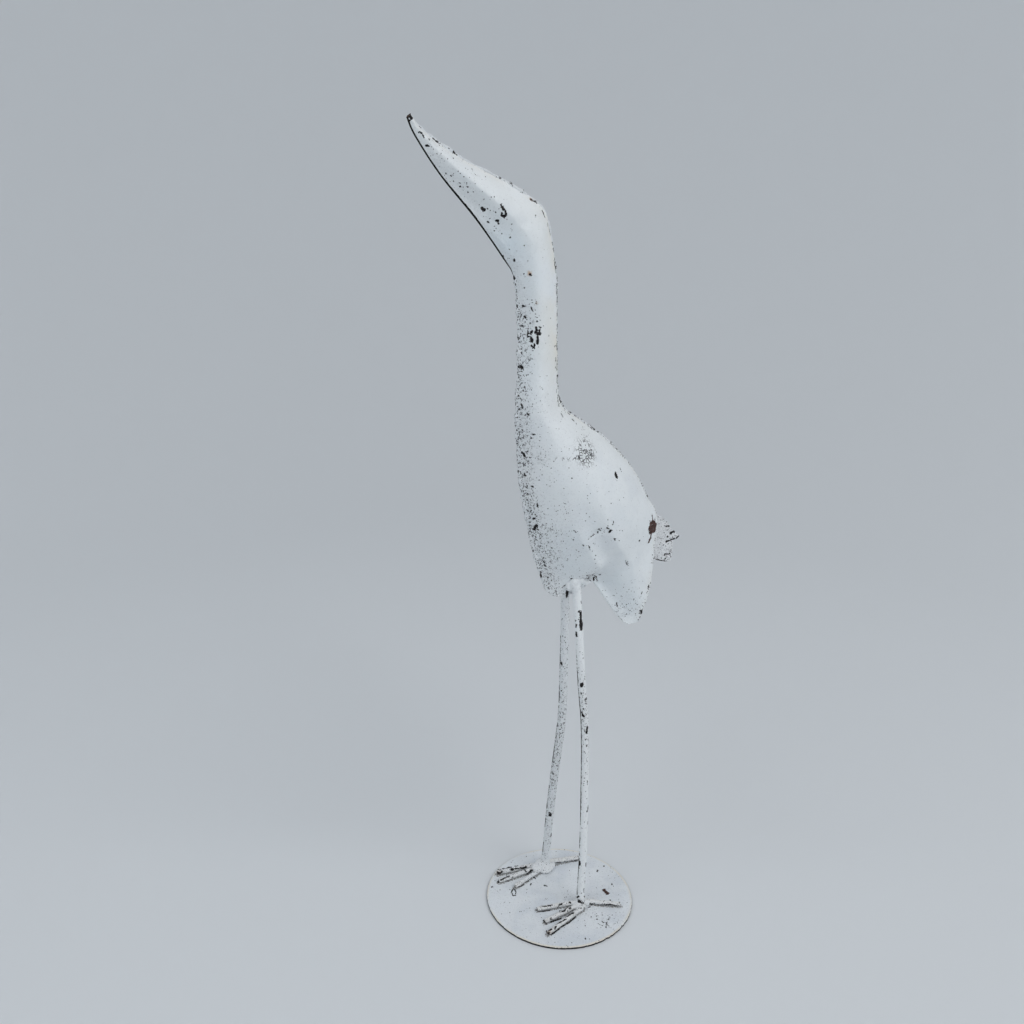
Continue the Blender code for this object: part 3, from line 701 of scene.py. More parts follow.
def flank_wear(side_name, outer, places, from_front, from_back, seed):
    """Values that the paint reads on a flank's outer face, apart from its marks."""
    forward, up = outer[..., 0], outer[..., 2]
    rows_down = np.broadcast_to(places[:, None], forward.shape)
    below_throat = held((THROAT_UP - up) / 12)
    on_body = held((BODY_UP - up) / 20)
    on_head = held((up - HEAD_UP) / 15)
    speck = 0.58 * below_throat * bell(from_front, 9.0) + (0.50 - 0.42 * on_head) * bell(from_back, 2.4)
    speck += 0.10 * on_body * bell(from_front, 28) + 0.006
    rough = 0.9 * bell(from_front, 10.0) + 0.4 * bell(from_back, 3.0) + 0.12
    rough += 0.45 * on_body * bell(from_front, 34)
    rough *= 1 - 0.5 * on_head
    for centre_forward, centre_up, reach, share in WORN_AREAS:
        close = share * bell(np.hypot(forward - centre_forward, up - centre_up), reach)
        speck += 0.35 * close
        rough += 0.6 * close
    patch_forward, patch_up, patch_reach = CRACKLE_PATCH
    patch = bell((forward - patch_forward) ** 2 + (up - patch_up) ** 2, patch_reach**2)
    patch *= 1.0 if side_name == "left" else 0.3
    # Cream on the back of the neck, which faces the light: the paint's own cream and painted warm light
    cream = 0.75 * bell(up - 480, 62) * bell(from_back, 20) + 0.12 + 0.35 * bell(from_back, 5)
    line = 0.25 + 0.4 * bell(rows_down - 2.7, 0.6) + 0.14 * noise_at(outer, 6.0, seed)
    beak_edge = bell(from_front, line) * held((SLIT_END + 0.1 - rows_down) * 4)
    above_tail = held((TAIL_STATION - 0.5 - rows_down) * 2)
    seam = (0.40 - 0.25 * on_head) * bell(from_back - 1.3, 0.6) * above_tail
    lower_rim = bell(len(STATIONS) - 1 - rows_down, 0.012)
    return {
        "speck": speck,
        "rough": np.clip(rough, 0, 1.2),
        "crackle": patch + relief(forward, up, CRACKLE_LINE),
        "cream": cream,
        "bare": 1.2 * beak_edge + seam + 0.42 * lower_rim + 0.8 * bell(rows_down, 0.05),
        # Bluish tint on faces turned from the light: painted cool shade
        "cool_paint_and_shade": 0.8 * relief(forward, up, COOL_TINT_AND_SHADE_AREAS),
    }


def build_flank(side_name, sign):
    places = row_places()
    shares = shares_across(COLUMNS)
    outer = flank_surface(side_name, places, shares, False)
    inner = flank_surface(side_name, places, shares[::INNER_SPAN], True)
    outer[..., 1] = softened(outer[..., 1], places)
    seed = 1 if side_name == "left" else 5
    from_front = np.linalg.norm(outer - outer[:, :1], axis=-1)
    from_back = np.linalg.norm(outer - outer[:, -1:], axis=-1)
    from_edge = np.minimum(from_front, from_back)

    # Hammer marks, and the weld's drag beside the front seam
    dents = 0.34 * noise_at(outer, 17.0, seed) + 0.13 * noise_at(outer, 7.0, seed + 1)
    drag = noise_at(outer, 2.4, seed + 2) * 0.22 * bell(from_front - 4, 5)
    moved = dents * held(from_edge / 4.0) + drag * held(from_edge)
    surface = outer + grid_normals(outer) * moved[..., None]

    # Marks are picked from the photographed side's tables, and scattered on the other side
    if side_name == "left":
        chips, browns, stains = (on_grid(surface, rows) for rows in (FLANK_CHIPS, BROWN_CHIPS, STAINS))
    else:
        chips = scattered_marks(surface, 90, 11, 1.1) + scattered_marks(surface, 6, 12, 2.2)
        browns = scattered_marks(surface, 3, 13, 2.4)
        stains = scattered_marks(surface, 3, 14, 2.0)
    flat = surface.reshape(-1, 3)
    wear = flank_wear(side_name, outer, places, from_front, from_back, seed + 3)
    wear["chip"], wear["brown"], wear["stain"] = (marks_at(flat, marks) for marks in (chips, browns, stains))

    # Values for the outer face and then the inner one, which shows only beside the beak's slit
    inner_columns = COLUMNS // INNER_SPAN
    inner_values = {key: np.full(inner.shape[:2], NO_MARK) for key in ("chip", "brown", "stain")}
    inner_values["bare"] = np.repeat(1.0 * (places < SLIT_END), inner_columns + 1)
    none_inside = np.zeros(inner.shape[:2])
    values = {
        key: np.concatenate([np.ravel(outside), np.ravel(inner_values.get(key, none_inside))])
        for key, outside in wear.items()
    }
    opening = ((26.0, False, [(*spot, 1.0) for spot in LOWER_EDGE]),)
    spray = relief(inner[..., 0], inner[..., 2], opening)
    values["spray"] = np.concatenate([np.zeros(len(flat)), spray.ravel()])

    name = side_name + "_half"
    points = to_frame(np.concatenate([flat, inner.reshape(-1, 3)]), sign)
    faces = flank_faces(len(flat), inner_columns)
    piece = add_piece(name, points, faces, "bird_paint", [side_name + "_flank"], values, 50)
    piece.data.materials.append(INSIDE)
    first = ROWS * COLUMNS
    for polygon in piece.data.polygons[first : first + ROWS * inner_columns]:
        polygon.material_index = 1
    return surface


# Rods, weld beads and lumps


def sweep(path, radii, sides):
    """Points and faces of a tube along a path, closed at both ends, and each point's centre on the path."""
    along = np.gradient(path, axis=0)
    along /= np.linalg.norm(along, axis=1, keepdims=True)
    side = np.cross(along[0], (0.12, 0.35, 0.93) if abs(along[0][2]) < 0.9 else (0.0, 1.0, 0.0))
    points = []
    for place, heading, radius in zip(path, along, radii):
        side = side - heading * (side @ heading)
        side /= np.linalg.norm(side)
        other = np.cross(heading, side)
        for k in range(sides):
            turn = 2 * math.pi * k / sides
            points.append(place + radius * (math.cos(turn) * side + math.sin(turn) * other))
    count = len(path)
    faces = []
    for i in range(count - 1):
        for k in range(sides):
            a, b = i * sides + k, i * sides + (k + 1) % sides
            faces.append((a, b, b + sides, a + sides))
    for k in range(sides):
        following = (k + 1) % sides
        faces.append((following, k, count * sides))
        faces.append(((count - 1) * sides + k, (count - 1) * sides + following, count * sides + 1))
    ends = [path[0], path[-1]]
    return np.array(points + ends), faces, np.concatenate([np.repeat(path, sides, axis=0), ends])


def spaced(path, step):
    """A line of points again, evenly spaced."""
    path = np.asarray(path, float)
    gone = np.concatenate([[0], np.cumsum(np.linalg.norm(np.diff(path, axis=0), axis=1))])
    count = max(int(gone[-1] / step), 2)
    wanted = np.linspace(0, gone[-1], count + 1)
    return np.stack([np.interp(wanted, gone, path[:, k]) for k in range(3)], axis=1)


def build_bead(name, path, radius, seed, marks):
    """A ragged weld bead along a seam."""
    path = spaced(path, 0.9)
    path = path + 0.3 * np.stack([noise_at(path, 5.0, seed + k) for k in range(3)], axis=1)
    swell = 1 + 0.65 * noise_at(path, 4.2, seed + 4) + 0.35 * noise_at(path, 11.0, seed + 5)
    from_end = np.minimum(np.arange(len(path)), np.arange(len(path))[::-1])
    points, faces, centre = sweep(path, radius * swell * held(0.35 + from_end / 6), BEAD_SIDES)
    points = points + (points - centre) * (0.35 * noise_at(points, 1.6, seed + 6))[:, None]
    pick = random.Random(seed)
    chips = list(marks)
    for _ in range(int(len(path) / 7)):
        spot = points[pick.randrange(len(points))]
        chips.append((pick.uniform(0.4, 1.0), np.array([spot, spot - (0, 0, pick.uniform(0, 1.8))])))
    on_head = held((points[:, 2] - HEAD_UP) / 15)
    values = {"chip": marks_at(points, chips), "speck": 0.6 - 0.5 * on_head, "rough": 1.0}
    add_piece(name, to_frame(points), faces, "bird_paint", [], values, 80)


def build_lump(name, balls, voxel, seed, bumpy, chips, slot, floor=None):
    """A weld: balls (forward, left, up, radii) melted together, with a bumpy skin."""
    form = bmesh.new()
    for forward, left, up, radius_forward, radius_left, radius_up in balls:
        centre = Vector(to_frame((forward, left, up)))
        scale = Matrix.Diagonal((radius_left * MM, radius_forward * MM, radius_up * MM, 1.0))
        placed = Matrix.Translation(centre) @ scale
        bmesh.ops.create_icosphere(form, subdivisions=3, radius=1.0, matrix=placed)
    mesh = bpy.data.meshes.new(name + "_balls")
    form.to_mesh(mesh)
    form.free()
    rough_form = bpy.data.objects.new(name + "_balls", mesh)
    bpy.context.collection.objects.link(rough_form)
    melted = rough_form.modifiers.new("melt", "REMESH")
    melted.mode = "VOXEL"
    melted.voxel_size = voxel * MM
    smooth = rough_form.modifiers.new("smooth", "SMOOTH")
    smooth.iterations = 6
    bpy.context.view_layer.update()
    done = rough_form.evaluated_get(bpy.context.evaluated_depsgraph_get()).to_mesh()
    points, normals = np.empty((2, len(done.vertices) * 3))
    done.vertices.foreach_get("co", points)
    done.vertices.foreach_get("normal", normals)
    points, normals = points.reshape(-1, 3) / MM, normals.reshape(-1, 3)
    faces = [tuple(polygon.vertices) for polygon in done.polygons]
    bpy.data.objects.remove(rough_form, do_unlink=True)
    bumps = bumpy * (noise_at(points, 4.0, seed) + 0.45 * noise_at(points, 1.7, seed + 1))
    points = points + normals * bumps[:, None]
    if floor is not None:
        points[:, 2] = np.maximum(points[:, 2], floor)
    values = {
        "chip": marks_at(places_of(points), chips),
        "speck": 0.22 * bumpy,
        "rough": min(0.35 + bumpy, 1.0),
        "cream": 0.15,
    }
    add_piece(name, points * MM, faces, slot, [], values, 80)


# Chips on the legs: a radius, then one or more places by forward, left and up
LEG_CHIPS = {
    "left": (
        (0.9, 6.8, 16.0, 260.8, 5.6, 16.6, 260.4), (1.25, 4.9, 16.5, 260.0, 4.8, 16.8, 253.0),
        (1.4, 4.9, 16.9, 252.0, 4.2, 17.1, 246.4), (0.6, 7.7, 14.0, 249.4, 7.6, 14.0, 247.6),
        (0.6, 7.9, 13.6, 252.6), (0.9, 7.4, 14.2, 242.6, 7.0, 14.6, 240.4),
        (1.2, 2.8, 18.5, 200.4, 2.7, 18.4, 199.0), (0.5, 3.2, 18.0, 193.0, 2.2, 18.4, 191.8),
        (0.4, 0.2, 18.8, 207.0, 0.1, 18.9, 203.6), (0.55, -0.6, 20.0, 187.4, -1.1, 20.2, 183.4),
        (0.5, 0.8, 19.3, 179.0), (0.85, 1.4, 18.3, 175.4, 0.2, 19.4, 172.4), (0.55, -1.0, 20.3, 175.7),
        (0.45, -0.1, 19.6, 168.5), (0.8, -3.1, 21.2, 163.4, -2.8, 21.3, 157.6), (0.5, -2.0, 21.2, 160.0),
        (0.7, -2.4, 21.6, 152.2, -3.8, 21.8, 151.9), (0.4, -2.8, 21.7, 147.6, -2.9, 21.7, 146.2),
        (0.35, -4.6, 23.4, 115.0, -4.6, 23.4, 112.2), (0.6, -1.3, 21.2, 92.4, -1.3, 21.3, 88.4),
        (0.5, -1.2, 21.6, 84.0), (1.1, -1.0, 24.2, 40.6, -1.0, 24.3, 38.2),
        (0.4, -4.9, 27.3, 23.0, -4.9, 27.3, 20.8), (0.45, -4.0, 28.0, 15.6, -4.0, 28.0, 12.4),
        (0.7, -5.1, 28.3, 8.6, -5.1, 28.3, 7.4),
    ),
    "right": (
        (0.8, 3.8, -14.6, 225.2, 3.2, -14.4, 223.6), (0.4, 3.5, -15.1, 221.6),
        (1.0, 2.3, -13.9, 203.0, 1.2, -13.7, 200.4), (0.45, 2.5, -15.9, 201.4, 2.5, -15.9, 199.0),
        (0.55, -1.7, -13.9, 183.0, -2.2, -14.0, 180.0), (0.4, 1.2, -14.4, 177.6, -1.6, -14.2, 178.0),
        (0.5, -2.3, -14.2, 176.0), (0.5, -3.8, -15.2, 166.8, -3.4, -15.1, 163.4),
        (0.5, -3.5, -15.0, 161.8, -3.2, -15.0, 157.6), (0.5, 0.5, -16.9, 163.2, 0.5, -16.9, 161.6),
        (0.6, -2.3, -15.6, 145.0), (0.7, 0.9, -19.0, 143.0, 0.5, -19.2, 141.0),
        (0.6, 1.1, -20.6, 130.2, 1.1, -20.6, 127.6), (0.7, 1.9, -19.4, 123.4, 1.9, -19.4, 120.8),
        (0.6, 1.4, -17.7, 110.9), (0.5, -0.6, -17.5, 104.6, -0.6, -17.5, 103.0),
        (0.5, -0.6, -17.7, 98.6, -0.6, -17.8, 97.0), (0.5, 3.2, -19.1, 83.7),
        (0.6, 4.3, -22.9, 72.6, 4.4, -22.9, 70.0), (0.8, 4.8, -21.8, 67.6, 4.8, -21.9, 65.8),
        (1.1, 3.3, -19.7, 60.0, 3.2, -19.7, 57.6), (0.4, 4.0, -20.6, 45.5),
        (0.5, 5.2, -22.5, 53.0, 5.2, -22.5, 49.0),
    ),
}


def leg_path(side_name):
    """The rod's centre line (forward, outward, up), resting against the flank as in the solids."""
    bends = LEG_BENDS[side_name]
    hip_forward, hip_up = bends[0]
    last = len(STATIONS) - 1
    near = flank_surface(side_name, last - 4 * np.arange(40) / 40, shares_across(14), False).reshape(-1, 3)
    reach = LEG_RADIUS + CLEARANCE
    close = (np.abs(near[:, 0] - hip_forward) < reach + CLEARANCE) & (near[:, 2] < hip_up + LEG_RADIUS)
    hip = near[close][:, 1].max() + reach
    samples = read_curve(bends, np.linspace(0, len(bends) - 1, 19))
    outward = hip + (FOOT[side_name][1] - hip) * (1 - samples[:, 1] / hip_up)
    path = np.stack([samples[:, 0], outward, samples[:, 1]], axis=1)
    return np.concatenate([path, [(*FOOT[side_name], 6.0), (*FOOT[side_name], 1.0)]])


# Dark outlines and bare spots round the feet: a radius, then one or more places by forward, left and up
FOOT_MARKS = (
    (1.3, 0.3, 28.9, 5.5, -0.3, 29.6, 5.2), (0.7, -1.4, 30.8, 4.6, -2.6, 30.8, 4.2),
    (0.9, -4.8, 28.8, 8.4), (1.0, 6.8, 25.6, 4.0), (0.6, -0.2, 27.6, 9.4, 0.7, 26.2, 7.3),
    (0.6, 2.6, 35.3, 4.1), (0.7, -0.9, 35.2, 2.9), (0.6, -6.6, 32.9, -0.1),
    (0.6, 33.3, 18.3, -0.1, 32.3, 19.8, -0.1, 30.1, 21.1, -0.1, 27.8, 21.8, -0.1, 23.5, 22.5, -0.1),
    (0.55, 29.6, 19.7, 3.8, 25.7, 21.1, 3.8, 21.5, 21.9, 3.9),
    (0.65, 13.4, 23.9, 4.1, 16.1, 23.8, 3.5, 16.9, 23.9, 1.3, 16.7, 27.0, -0.1),
    (0.8, 17.9, 32.0, 4.0, 15.1, 32.0, 4.2, 13.2, 30.3, 4.0, 11.0, 29.8, 3.8), (1.0, 10.3, 31.6, 4.2),
    (0.9, 10.7, 37.4, 4.2, 13.8, 37.8, 4.1, 16.8, 38.3, 3.8, 18.6, 38.3, 3.4),
    (0.8, 20.0, 34.6, -0.1, 22.8, 34.6, -0.1, 26.5, 34.7, -0.1, 30.1, 34.7, -0.1),
    (0.8, 33.9, 30.7, -0.1, 34.3, 33.9, 1.0, 33.6, 35.2, -0.1), (0.9, 29.4, 34.8, 3.0),
    (0.7, 8.6, 38.0, -0.1, 12.8, 39.8, -0.1, 16.4, 41.3, -0.1, 20.6, 42.2, -0.1, 24.7, 43.0, -0.1),
    (0.55, 19.0, 40.7, 3.8, 24.2, 41.8, 3.9, 29.3, 42.7, 3.8), (1.0, 37.2, 42.8, -0.1, 38.1, 47.5, 2.2),
    (0.9, 35.3, 46.7, -0.1, 33.3, 46.4, -0.1, 31.5, 45.4, -0.1, 29.2, 44.6, -0.1, 27.2, 44.3, -0.1),
    (0.8, 37.3, 46.0, 3.6, 35.2, 45.3, 3.7), (0.7, 31.9, 45.9, 2.9, 30.3, 44.6, 3.7),
    (0.8, -8.8, 31.4, 1.9, -11.4, 30.5, -0.1), (0.8, -12.1, 33.1, 2.1),
    (0.65, -15.5, 33.2, -0.1, -16.8, 35.7, 1.1, -19.4, 37.5, 1.6, -22.9, 39.7, 2.3, -29.7, 42.8, 0.8),
    (0.6, -20.2, 35.3, 3.9), (0.8, -27.5, 33.2, -0.2), (0.6, -30.6, 41.8, 3.5),
    (0.6, 36.1, -39.9, -0.2, 34.3, -38.7, -0.1, 31.4, -38.7, -0.1),
    (0.9, 30.4, -38.9, -0.1, 28.8, -38.3, -0.1), (0.5, 25.1, -37.9, -0.1, 22.6, -37.2, -0.1),
    (1.0, 32.2, -31.6, 3.7, 30.5, -31.1, 3.5), (0.6, 28.6, -31.1, 3.7, 25.3, -30.1, 3.3),
    (0.9, 23.5, -29.9, 3.5, 21.8, -29.4, 2.8, 19.0, -29.3, 3.6), (0.8, 22.5, -25.3, 4.3, 21.8, -23.8, 3.6),
    (1.1, 44.0, -34.7, 2.6, 43.7, -33.1, 2.6), (0.8, 43.7, -33.1, 2.6, 42.2, -32.5, 2.3, 40.2, -32.7, 3.3),
    (0.6, 37.9, -39.2, -0.2, 40.4, -40.0, -0.2),
    (0.9, 20.2, -24.8, -0.2, 19.1, -23.5, 2.1, 17.2, -23.4, 3.2, 16.2, -23.4, 3.3),
    (0.6, 45.6, -23.5, 3.2, 43.5, -24.0, 3.6, 40.8, -23.9, 3.8, 37.9, -24.0, 3.7),
    (1.2, 46.9, -25.5, 1.6, 46.8, -25.8, -0.2), (0.7, 35.0, -23.0, 2.7), (0.5, 29.5, -23.4, -0.1),
    (0.6, 40.5, -24.2, -0.1, 36.3, -23.3, 1.0), (0.7, 37.6, -13.2, 2.5),
    (0.55, 34.6, -13.3, -0.1, 31.9, -13.0, -0.2, 29.0, -14.2, -0.2),
    (0.5, 25.7, -16.1, -0.2, 22.8, -16.2, -0.2), (0.6, 23.9, -11.2, -0.2, 22.6, -12.4, -0.2),
    (0.6, 20.6, -16.7, 1.8), (0.5, 16.9, -19.1, -0.2, 16.3, -16.7, -0.2),
    (0.6, -9.7, -27.8, -0.1, -13.0, -26.7, -0.1, -15.9, -23.2, 2.2),
    (0.6, -22.3, -23.7, -0.1, -27.2, -21.7, -0.1),
)
FOOT_CHIPS = read_marks(FOOT_MARKS, 3)

# The side of the rod (forward, left) where a dark streak runs down the legs
DARK_SIDE = np.array([0.96, -0.12])
LEG_CHIP_SCALE = 1.25

# How rusty a toe is, from 0 to 1
RUSTY = {"left outer": 0.46, "right outer": 0.46, "right middle": 0.35, "right back": 0.25}


def build_leg(side_name, sign):
    near = sign > 0
    path = spaced(leg_path(side_name), 0.75)
    for _ in range(16):
        path[1:-1] = (path[:-2] + 2 * path[1:-1] + path[2:]) / 4
    seed = 21 if near else 31
    wander = 1 + 0.02 * noise_at(path, 22.0, seed)
    points, faces, centre = sweep(path, LEG_RADIUS * LEG_SWELL[side_name] * wander, LEG_SIDES)
    skin = 0.035 * noise_at(points, 5.0, seed + 1) + 0.02 * noise_at(points, 1.8, seed + 2)
    points = points + (points - centre) * skin[:, None]
    height = points[:, 2]
    mirror = (1, sign, 1)
    chips = [(LEG_CHIP_SCALE * radius, spots) for radius, spots in read_marks(LEG_CHIPS[side_name], 3)]
    chips += FOOT_CHIPS
    pick = random.Random(seed)
    for _ in range(20):
        spot = path[pick.randrange(len(path) - 6)]
        turn = pick.uniform(0.6, 1.4) * math.pi
        spot = spot + 3.0 * np.array([math.cos(turn), math.sin(turn), 0])
        end = spot - (0, 0, pick.uniform(0, 4))
        chips.append((pick.uniform(0.4, 1.1), np.array([spot, end]) * mirror))
    outside = (points - centre)[:, :2] / LEG_RADIUS * (1, sign)
    streak = held((240 - height) / 15) * (0.80 if near else 0.70) * (1 + 0.7 * noise_at(points, 14.0, seed))
    band = bell(height - 170, 45) if near else bell(height - 120, 55)
    values = {
        "chip": marks_at(points * mirror, chips),
        "speck": (0.03 if near else 0.20) + 0.28 * band + 0.3 * np.exp(-height / 6),
        "rough": (0.4 if near else 0.8) + 0.35 * band,
        "cream": 0.1,
        # A little of the bluish tint on the far leg: the paint's own blue and painted cool shade
        "cool_paint_and_shade": 0.0 if near else 0.15,
        "bare": streak * bell(np.linalg.norm(outside - DARK_SIDE, axis=1), 0.36),
    }
    name = side_name + "_rod"
    add_piece(name, to_frame(points, sign), faces, "rod_paint", [side_name + "_leg"], values, 60)


def toe_path(side_name, which):
    """A toe's centre line from inside its weld to its tip (forward, outward, up)."""
    forward, outward, aside, raised = TOES[side_name][which]
    tip = np.array([forward, outward])
    passing = np.array([0.0, aside])
    heading = (tip - passing) / np.linalg.norm(tip - passing)
    root = passing + heading * (WELD_RADIUS[side_name] * 0.35 - passing @ heading)
    low = TOE_RADIUS + 0.15
    foot = np.array(FOOT[side_name])
    path = []
    for share, lift in ((0.0, raised), (0.5, 0.35 * raised), (0.95, 0.0), (1.0, 0.0)):
        spot = foot + root + (tip - root) * share
        path.append((spot[0], spot[1], low + lift))
    return path


def build_toe(side_name, sign, which, seed):
    path = spaced(toe_path(side_name, which), 0.8)
    sway = np.stack([noise_at(path, 12.0, seed), noise_at(path, 12.0, seed + 1), np.zeros(len(path))], axis=1)
    path = path + sway * 0.35
    from_tip = np.arange(len(path))[::-1]
    radii = TOE_RADIUS * (1 + 0.07 * noise_at(path, 7.0, seed + 2)) * held(0.80 + 0.1 * from_tip)
    points, faces, centre = sweep(path, radii, TOE_SIDES)
    points = points + (points - centre) * (0.10 * noise_at(points, 2.6, seed + 3))[:, None]
    points[:, 2] = np.maximum(points[:, 2], 0.1)
    low = held(1 - (points[:, 2] - 0.1) / 1.5)
    to_tip = np.linalg.norm(points - path[-1], axis=1)
    rust = RUSTY.get(side_name + " " + which, 0.0)
    values = {
        "chip": marks_at(points * (1, sign, 1), FOOT_CHIPS),
        "stain": NO_MARK + 8.0 * rust * bell(to_tip, 9.0) + 5.0 * rust,
        "speck": 0.25,
        "rough": 0.9,
        "cream": 0.5,
        # Darker on the toe's underside by the base: dirt and painted contact shadow; darker at the cut tip
        # and where rusty
        "dirt_and_contact_shadow": 0.55 * low**1.5 + 0.8 * np.exp(-to_tip / 1.4) + 0.3 * rust,
    }
    name = f"{side_name}_toe_{which}"
    add_piece(name + "_rod", to_frame(points, sign), faces, "rod_paint", [name], values, 60)
    return to_frame(path, sign) / MM


# Marks on the base: a radius, then one or more places by forward and left
BASE_CHIPS = (
    (0.6, -45.6, -6.4, -44.6, -6.0), (0.8, -37.2, -3.4, -36.2, -2.6), (0.5, -39.6, 16.0, -38.9, 17.2),
    (0.5, -39.1, 19.2), (0.7, -2.9, 43.3), (0.8, -6.1, 47.3), (0.5, -12.5, 45.2),
    (0.6, -8.4, 51.6, -8.8, 52.8), (0.55, -10.5, 54.0), (0.55, -10.2, 56.6, -10.4, 57.9),
    (0.5, 39.0, -13.1, 42.4, -9.9, 43.2, -5.6, 41.0, -5.4, 39.0, -8.4, 38.4, -11.5, 39.0, -13.1),
    (0.8, 13.3, 62.2), (0.6, 6.4, 49.6), (0.7, 13.4, -5.9, 12.2, -4.4), (0.5, 23.0, -12.0),
    (0.9, 54.4, -22.4), (0.5, 56.0, -1.8), (0.7, -8.1, 32.9), (0.7, -2.7, 32.6, -1.9, 32.0),
    (0.4, -7.5, 44.2), (0.4, -12.0, 53.6, -9.0, 56.4, -7.6, 58.6), (0.4, -16.4, 49.8, -14.0, 52.0),
    (0.35, -4.4, 52.4, -6.4, 55.6), (0.45, -0.9, 56.0),
)
BASE_BROWN = ((1.5, -29.2, 19.6, -29.4, 25.2),)


def on_base(rows):
    """Marks on the base from rows of a radius and places by forward and left."""
    return [(radius, np.pad(spots, ((0, 0), (0, 1)))) for radius, spots in read_marks(rows, 2)]


def build_disc(toe_lines):
    """The round base: a thin sheet with a worn, slightly nicked rim."""
    sides = DISC_SIDES
    turns = 2 * math.pi * np.arange(sides) / sides
    rim = np.stack([np.cos(turns), np.sin(turns), np.zeros(sides)], axis=1) * DISC_RADIUS
    nick = 0.24 * np.minimum(noise_at(rim, 6.0, 41), 0) + 0.22 * np.minimum(noise_at(rim, 2.2, 42), 0)
    lower_right = bell((np.degrees(turns) - 20 + 180) % 360 - 180, 24)
    nick = nick * (1 + 2.6 * lower_right)
    shares = np.linspace(0, 1, DISC_RINGS + 1)[1:] ** 0.9
    loops = [(share, DISC_THICKNESS) for share in shares * (DISC_RADIUS - 0.35) / DISC_RADIUS]
    loops += [
        (1 - 0.10 / DISC_RADIUS, DISC_THICKNESS - 0.12),
        (1.0, DISC_THICKNESS - 0.4),
        (1.0, 0.3),
        (1 - 0.25 / DISC_RADIUS, 0.0),
    ]
    points = [(0.0, 0.0, DISC_THICKNESS)]
    for share, height in loops:
        reach = DISC_RADIUS * share + nick * share**30
        for k in range(sides):
            points.append((reach[k] * math.cos(turns[k]), reach[k] * math.sin(turns[k]), height))
    points.append((0.0, 0.0, 0.0))
    points = np.array(points)
    wave = 0.10 * noise_at(points, 30.0, 43)
    top = points[:, 2] > DISC_THICKNESS - 0.2
    points[top, 2] -= 0.12 - np.clip(wave[top], -0.1, 0.1)
    faces = [(0, 1 + k, 1 + (k + 1) % sides) for k in range(sides)]
    for loop in range(len(loops) - 1):
        start = 1 + loop * sides
        for k in range(sides):
            following = (k + 1) % sides
            faces.append((start + k, start + sides + k, start + sides + following, start + following))
    start = 1 + (len(loops) - 1) * sides
    faces += [(len(points) - 1, start + (k + 1) % sides, start + k) for k in range(sides)]

    place = places_of(points)
    level = np.array([1, 1, 0])
    toe_marks = [(2.0, line[3:] * level) for line in toe_lines]
    near_feet = np.zeros(len(points))
    for name, sign in SIDES:
        away = np.hypot(place[:, 0] - FOOT[name][0], place[:, 1] - sign * FOOT[name][1])
        near_feet += bell(away, 14.0 if sign > 0 else 8.0)
    rim_band = bell(DISC_RADIUS - np.linalg.norm(points[:, :2], axis=1), 1.3)
    left_patch = bell(np.hypot(place[:, 0] + 10, place[:, 1] - 48), 14)
    values = {
        "chip": np.maximum(marks_at(place * level, on_base(BASE_CHIPS)), marks_at(place, FOOT_CHIPS)),
        "brown": marks_at(place * level, on_base(BASE_BROWN)),
        "speck": 0.03 + 0.16 * near_feet + 0.05 * rim_band + 0.18 * left_patch,
        "rough": 0.55 + 0.5 * near_feet,
        # Cream along the rim: the paint's own cream and a painted highlight on the edge
        "cream": 0.10 + 1.6 * rim_band,
        # A dark band under and beside the toes: dirt and painted contact shadow
        "dirt_and_contact_shadow": np.clip(0.5 + 0.45 * marks_at(points * level, toe_marks), 0, 0.55),
        # The disc's side is dark all round, in the iron's colour
        "bare": held((DISC_THICKNESS - 0.22 - points[:, 2]) / 0.3),
    }
    add_piece("base_sheet", points * MM, faces, "base_paint", ["base_disc"], values, 60)


# Chips on the tail's left face: a radius, then one or more places by forward, left and up
TAIL_CHIPS = (
    (0.6, -75.1, 0.8, 312.1, -76.6, 0.7, 311.2, -79.4, 0.6, 311.2), (0.5, -76.0, 0.6, 315.2),
    (0.5, -73.0, 0.6, 318.0), (1.3, -82.0, 0.4, 304.8), (0.7, -83.6, 0.2, 305.4, -85.4, 0.2, 305.2),
    (0.9, -78.8, 0.7, 302.4), (0.6, -83.9, 0.3, 300.7), (0.9, -90.0, 0.3, 300.9, -88.0, 0.3, 299.8),
    (0.7, -88.0, 0.3, 299.6, -82.7, 0.4, 299.1, -79.8, 0.4, 298.4),
    (0.9, -79.8, 0.4, 298.4, -78.5, 0.3, 298.2), (0.5, -74.6, 0.8, 290.8), (0.9, -77.1, 1.0, 287.4),
    (0.7, -78.6, 0.8, 287.6, -80.6, 0.7, 287.5), (1.0, -78.2, 1.2, 284.7),
    (0.8, -70.0, 0.4, 284.6, -72.9, 0.4, 283.2, -76.7, 0.4, 282.3, -81.0, 0.4, 281.8),
    (0.5, -83.7, 0.8, 284.1, -82.5, 0.6, 288.0), (0.6, -68.1, 0.1, 285.7), (0.6, -71.6, 0.3, 302.5),
)


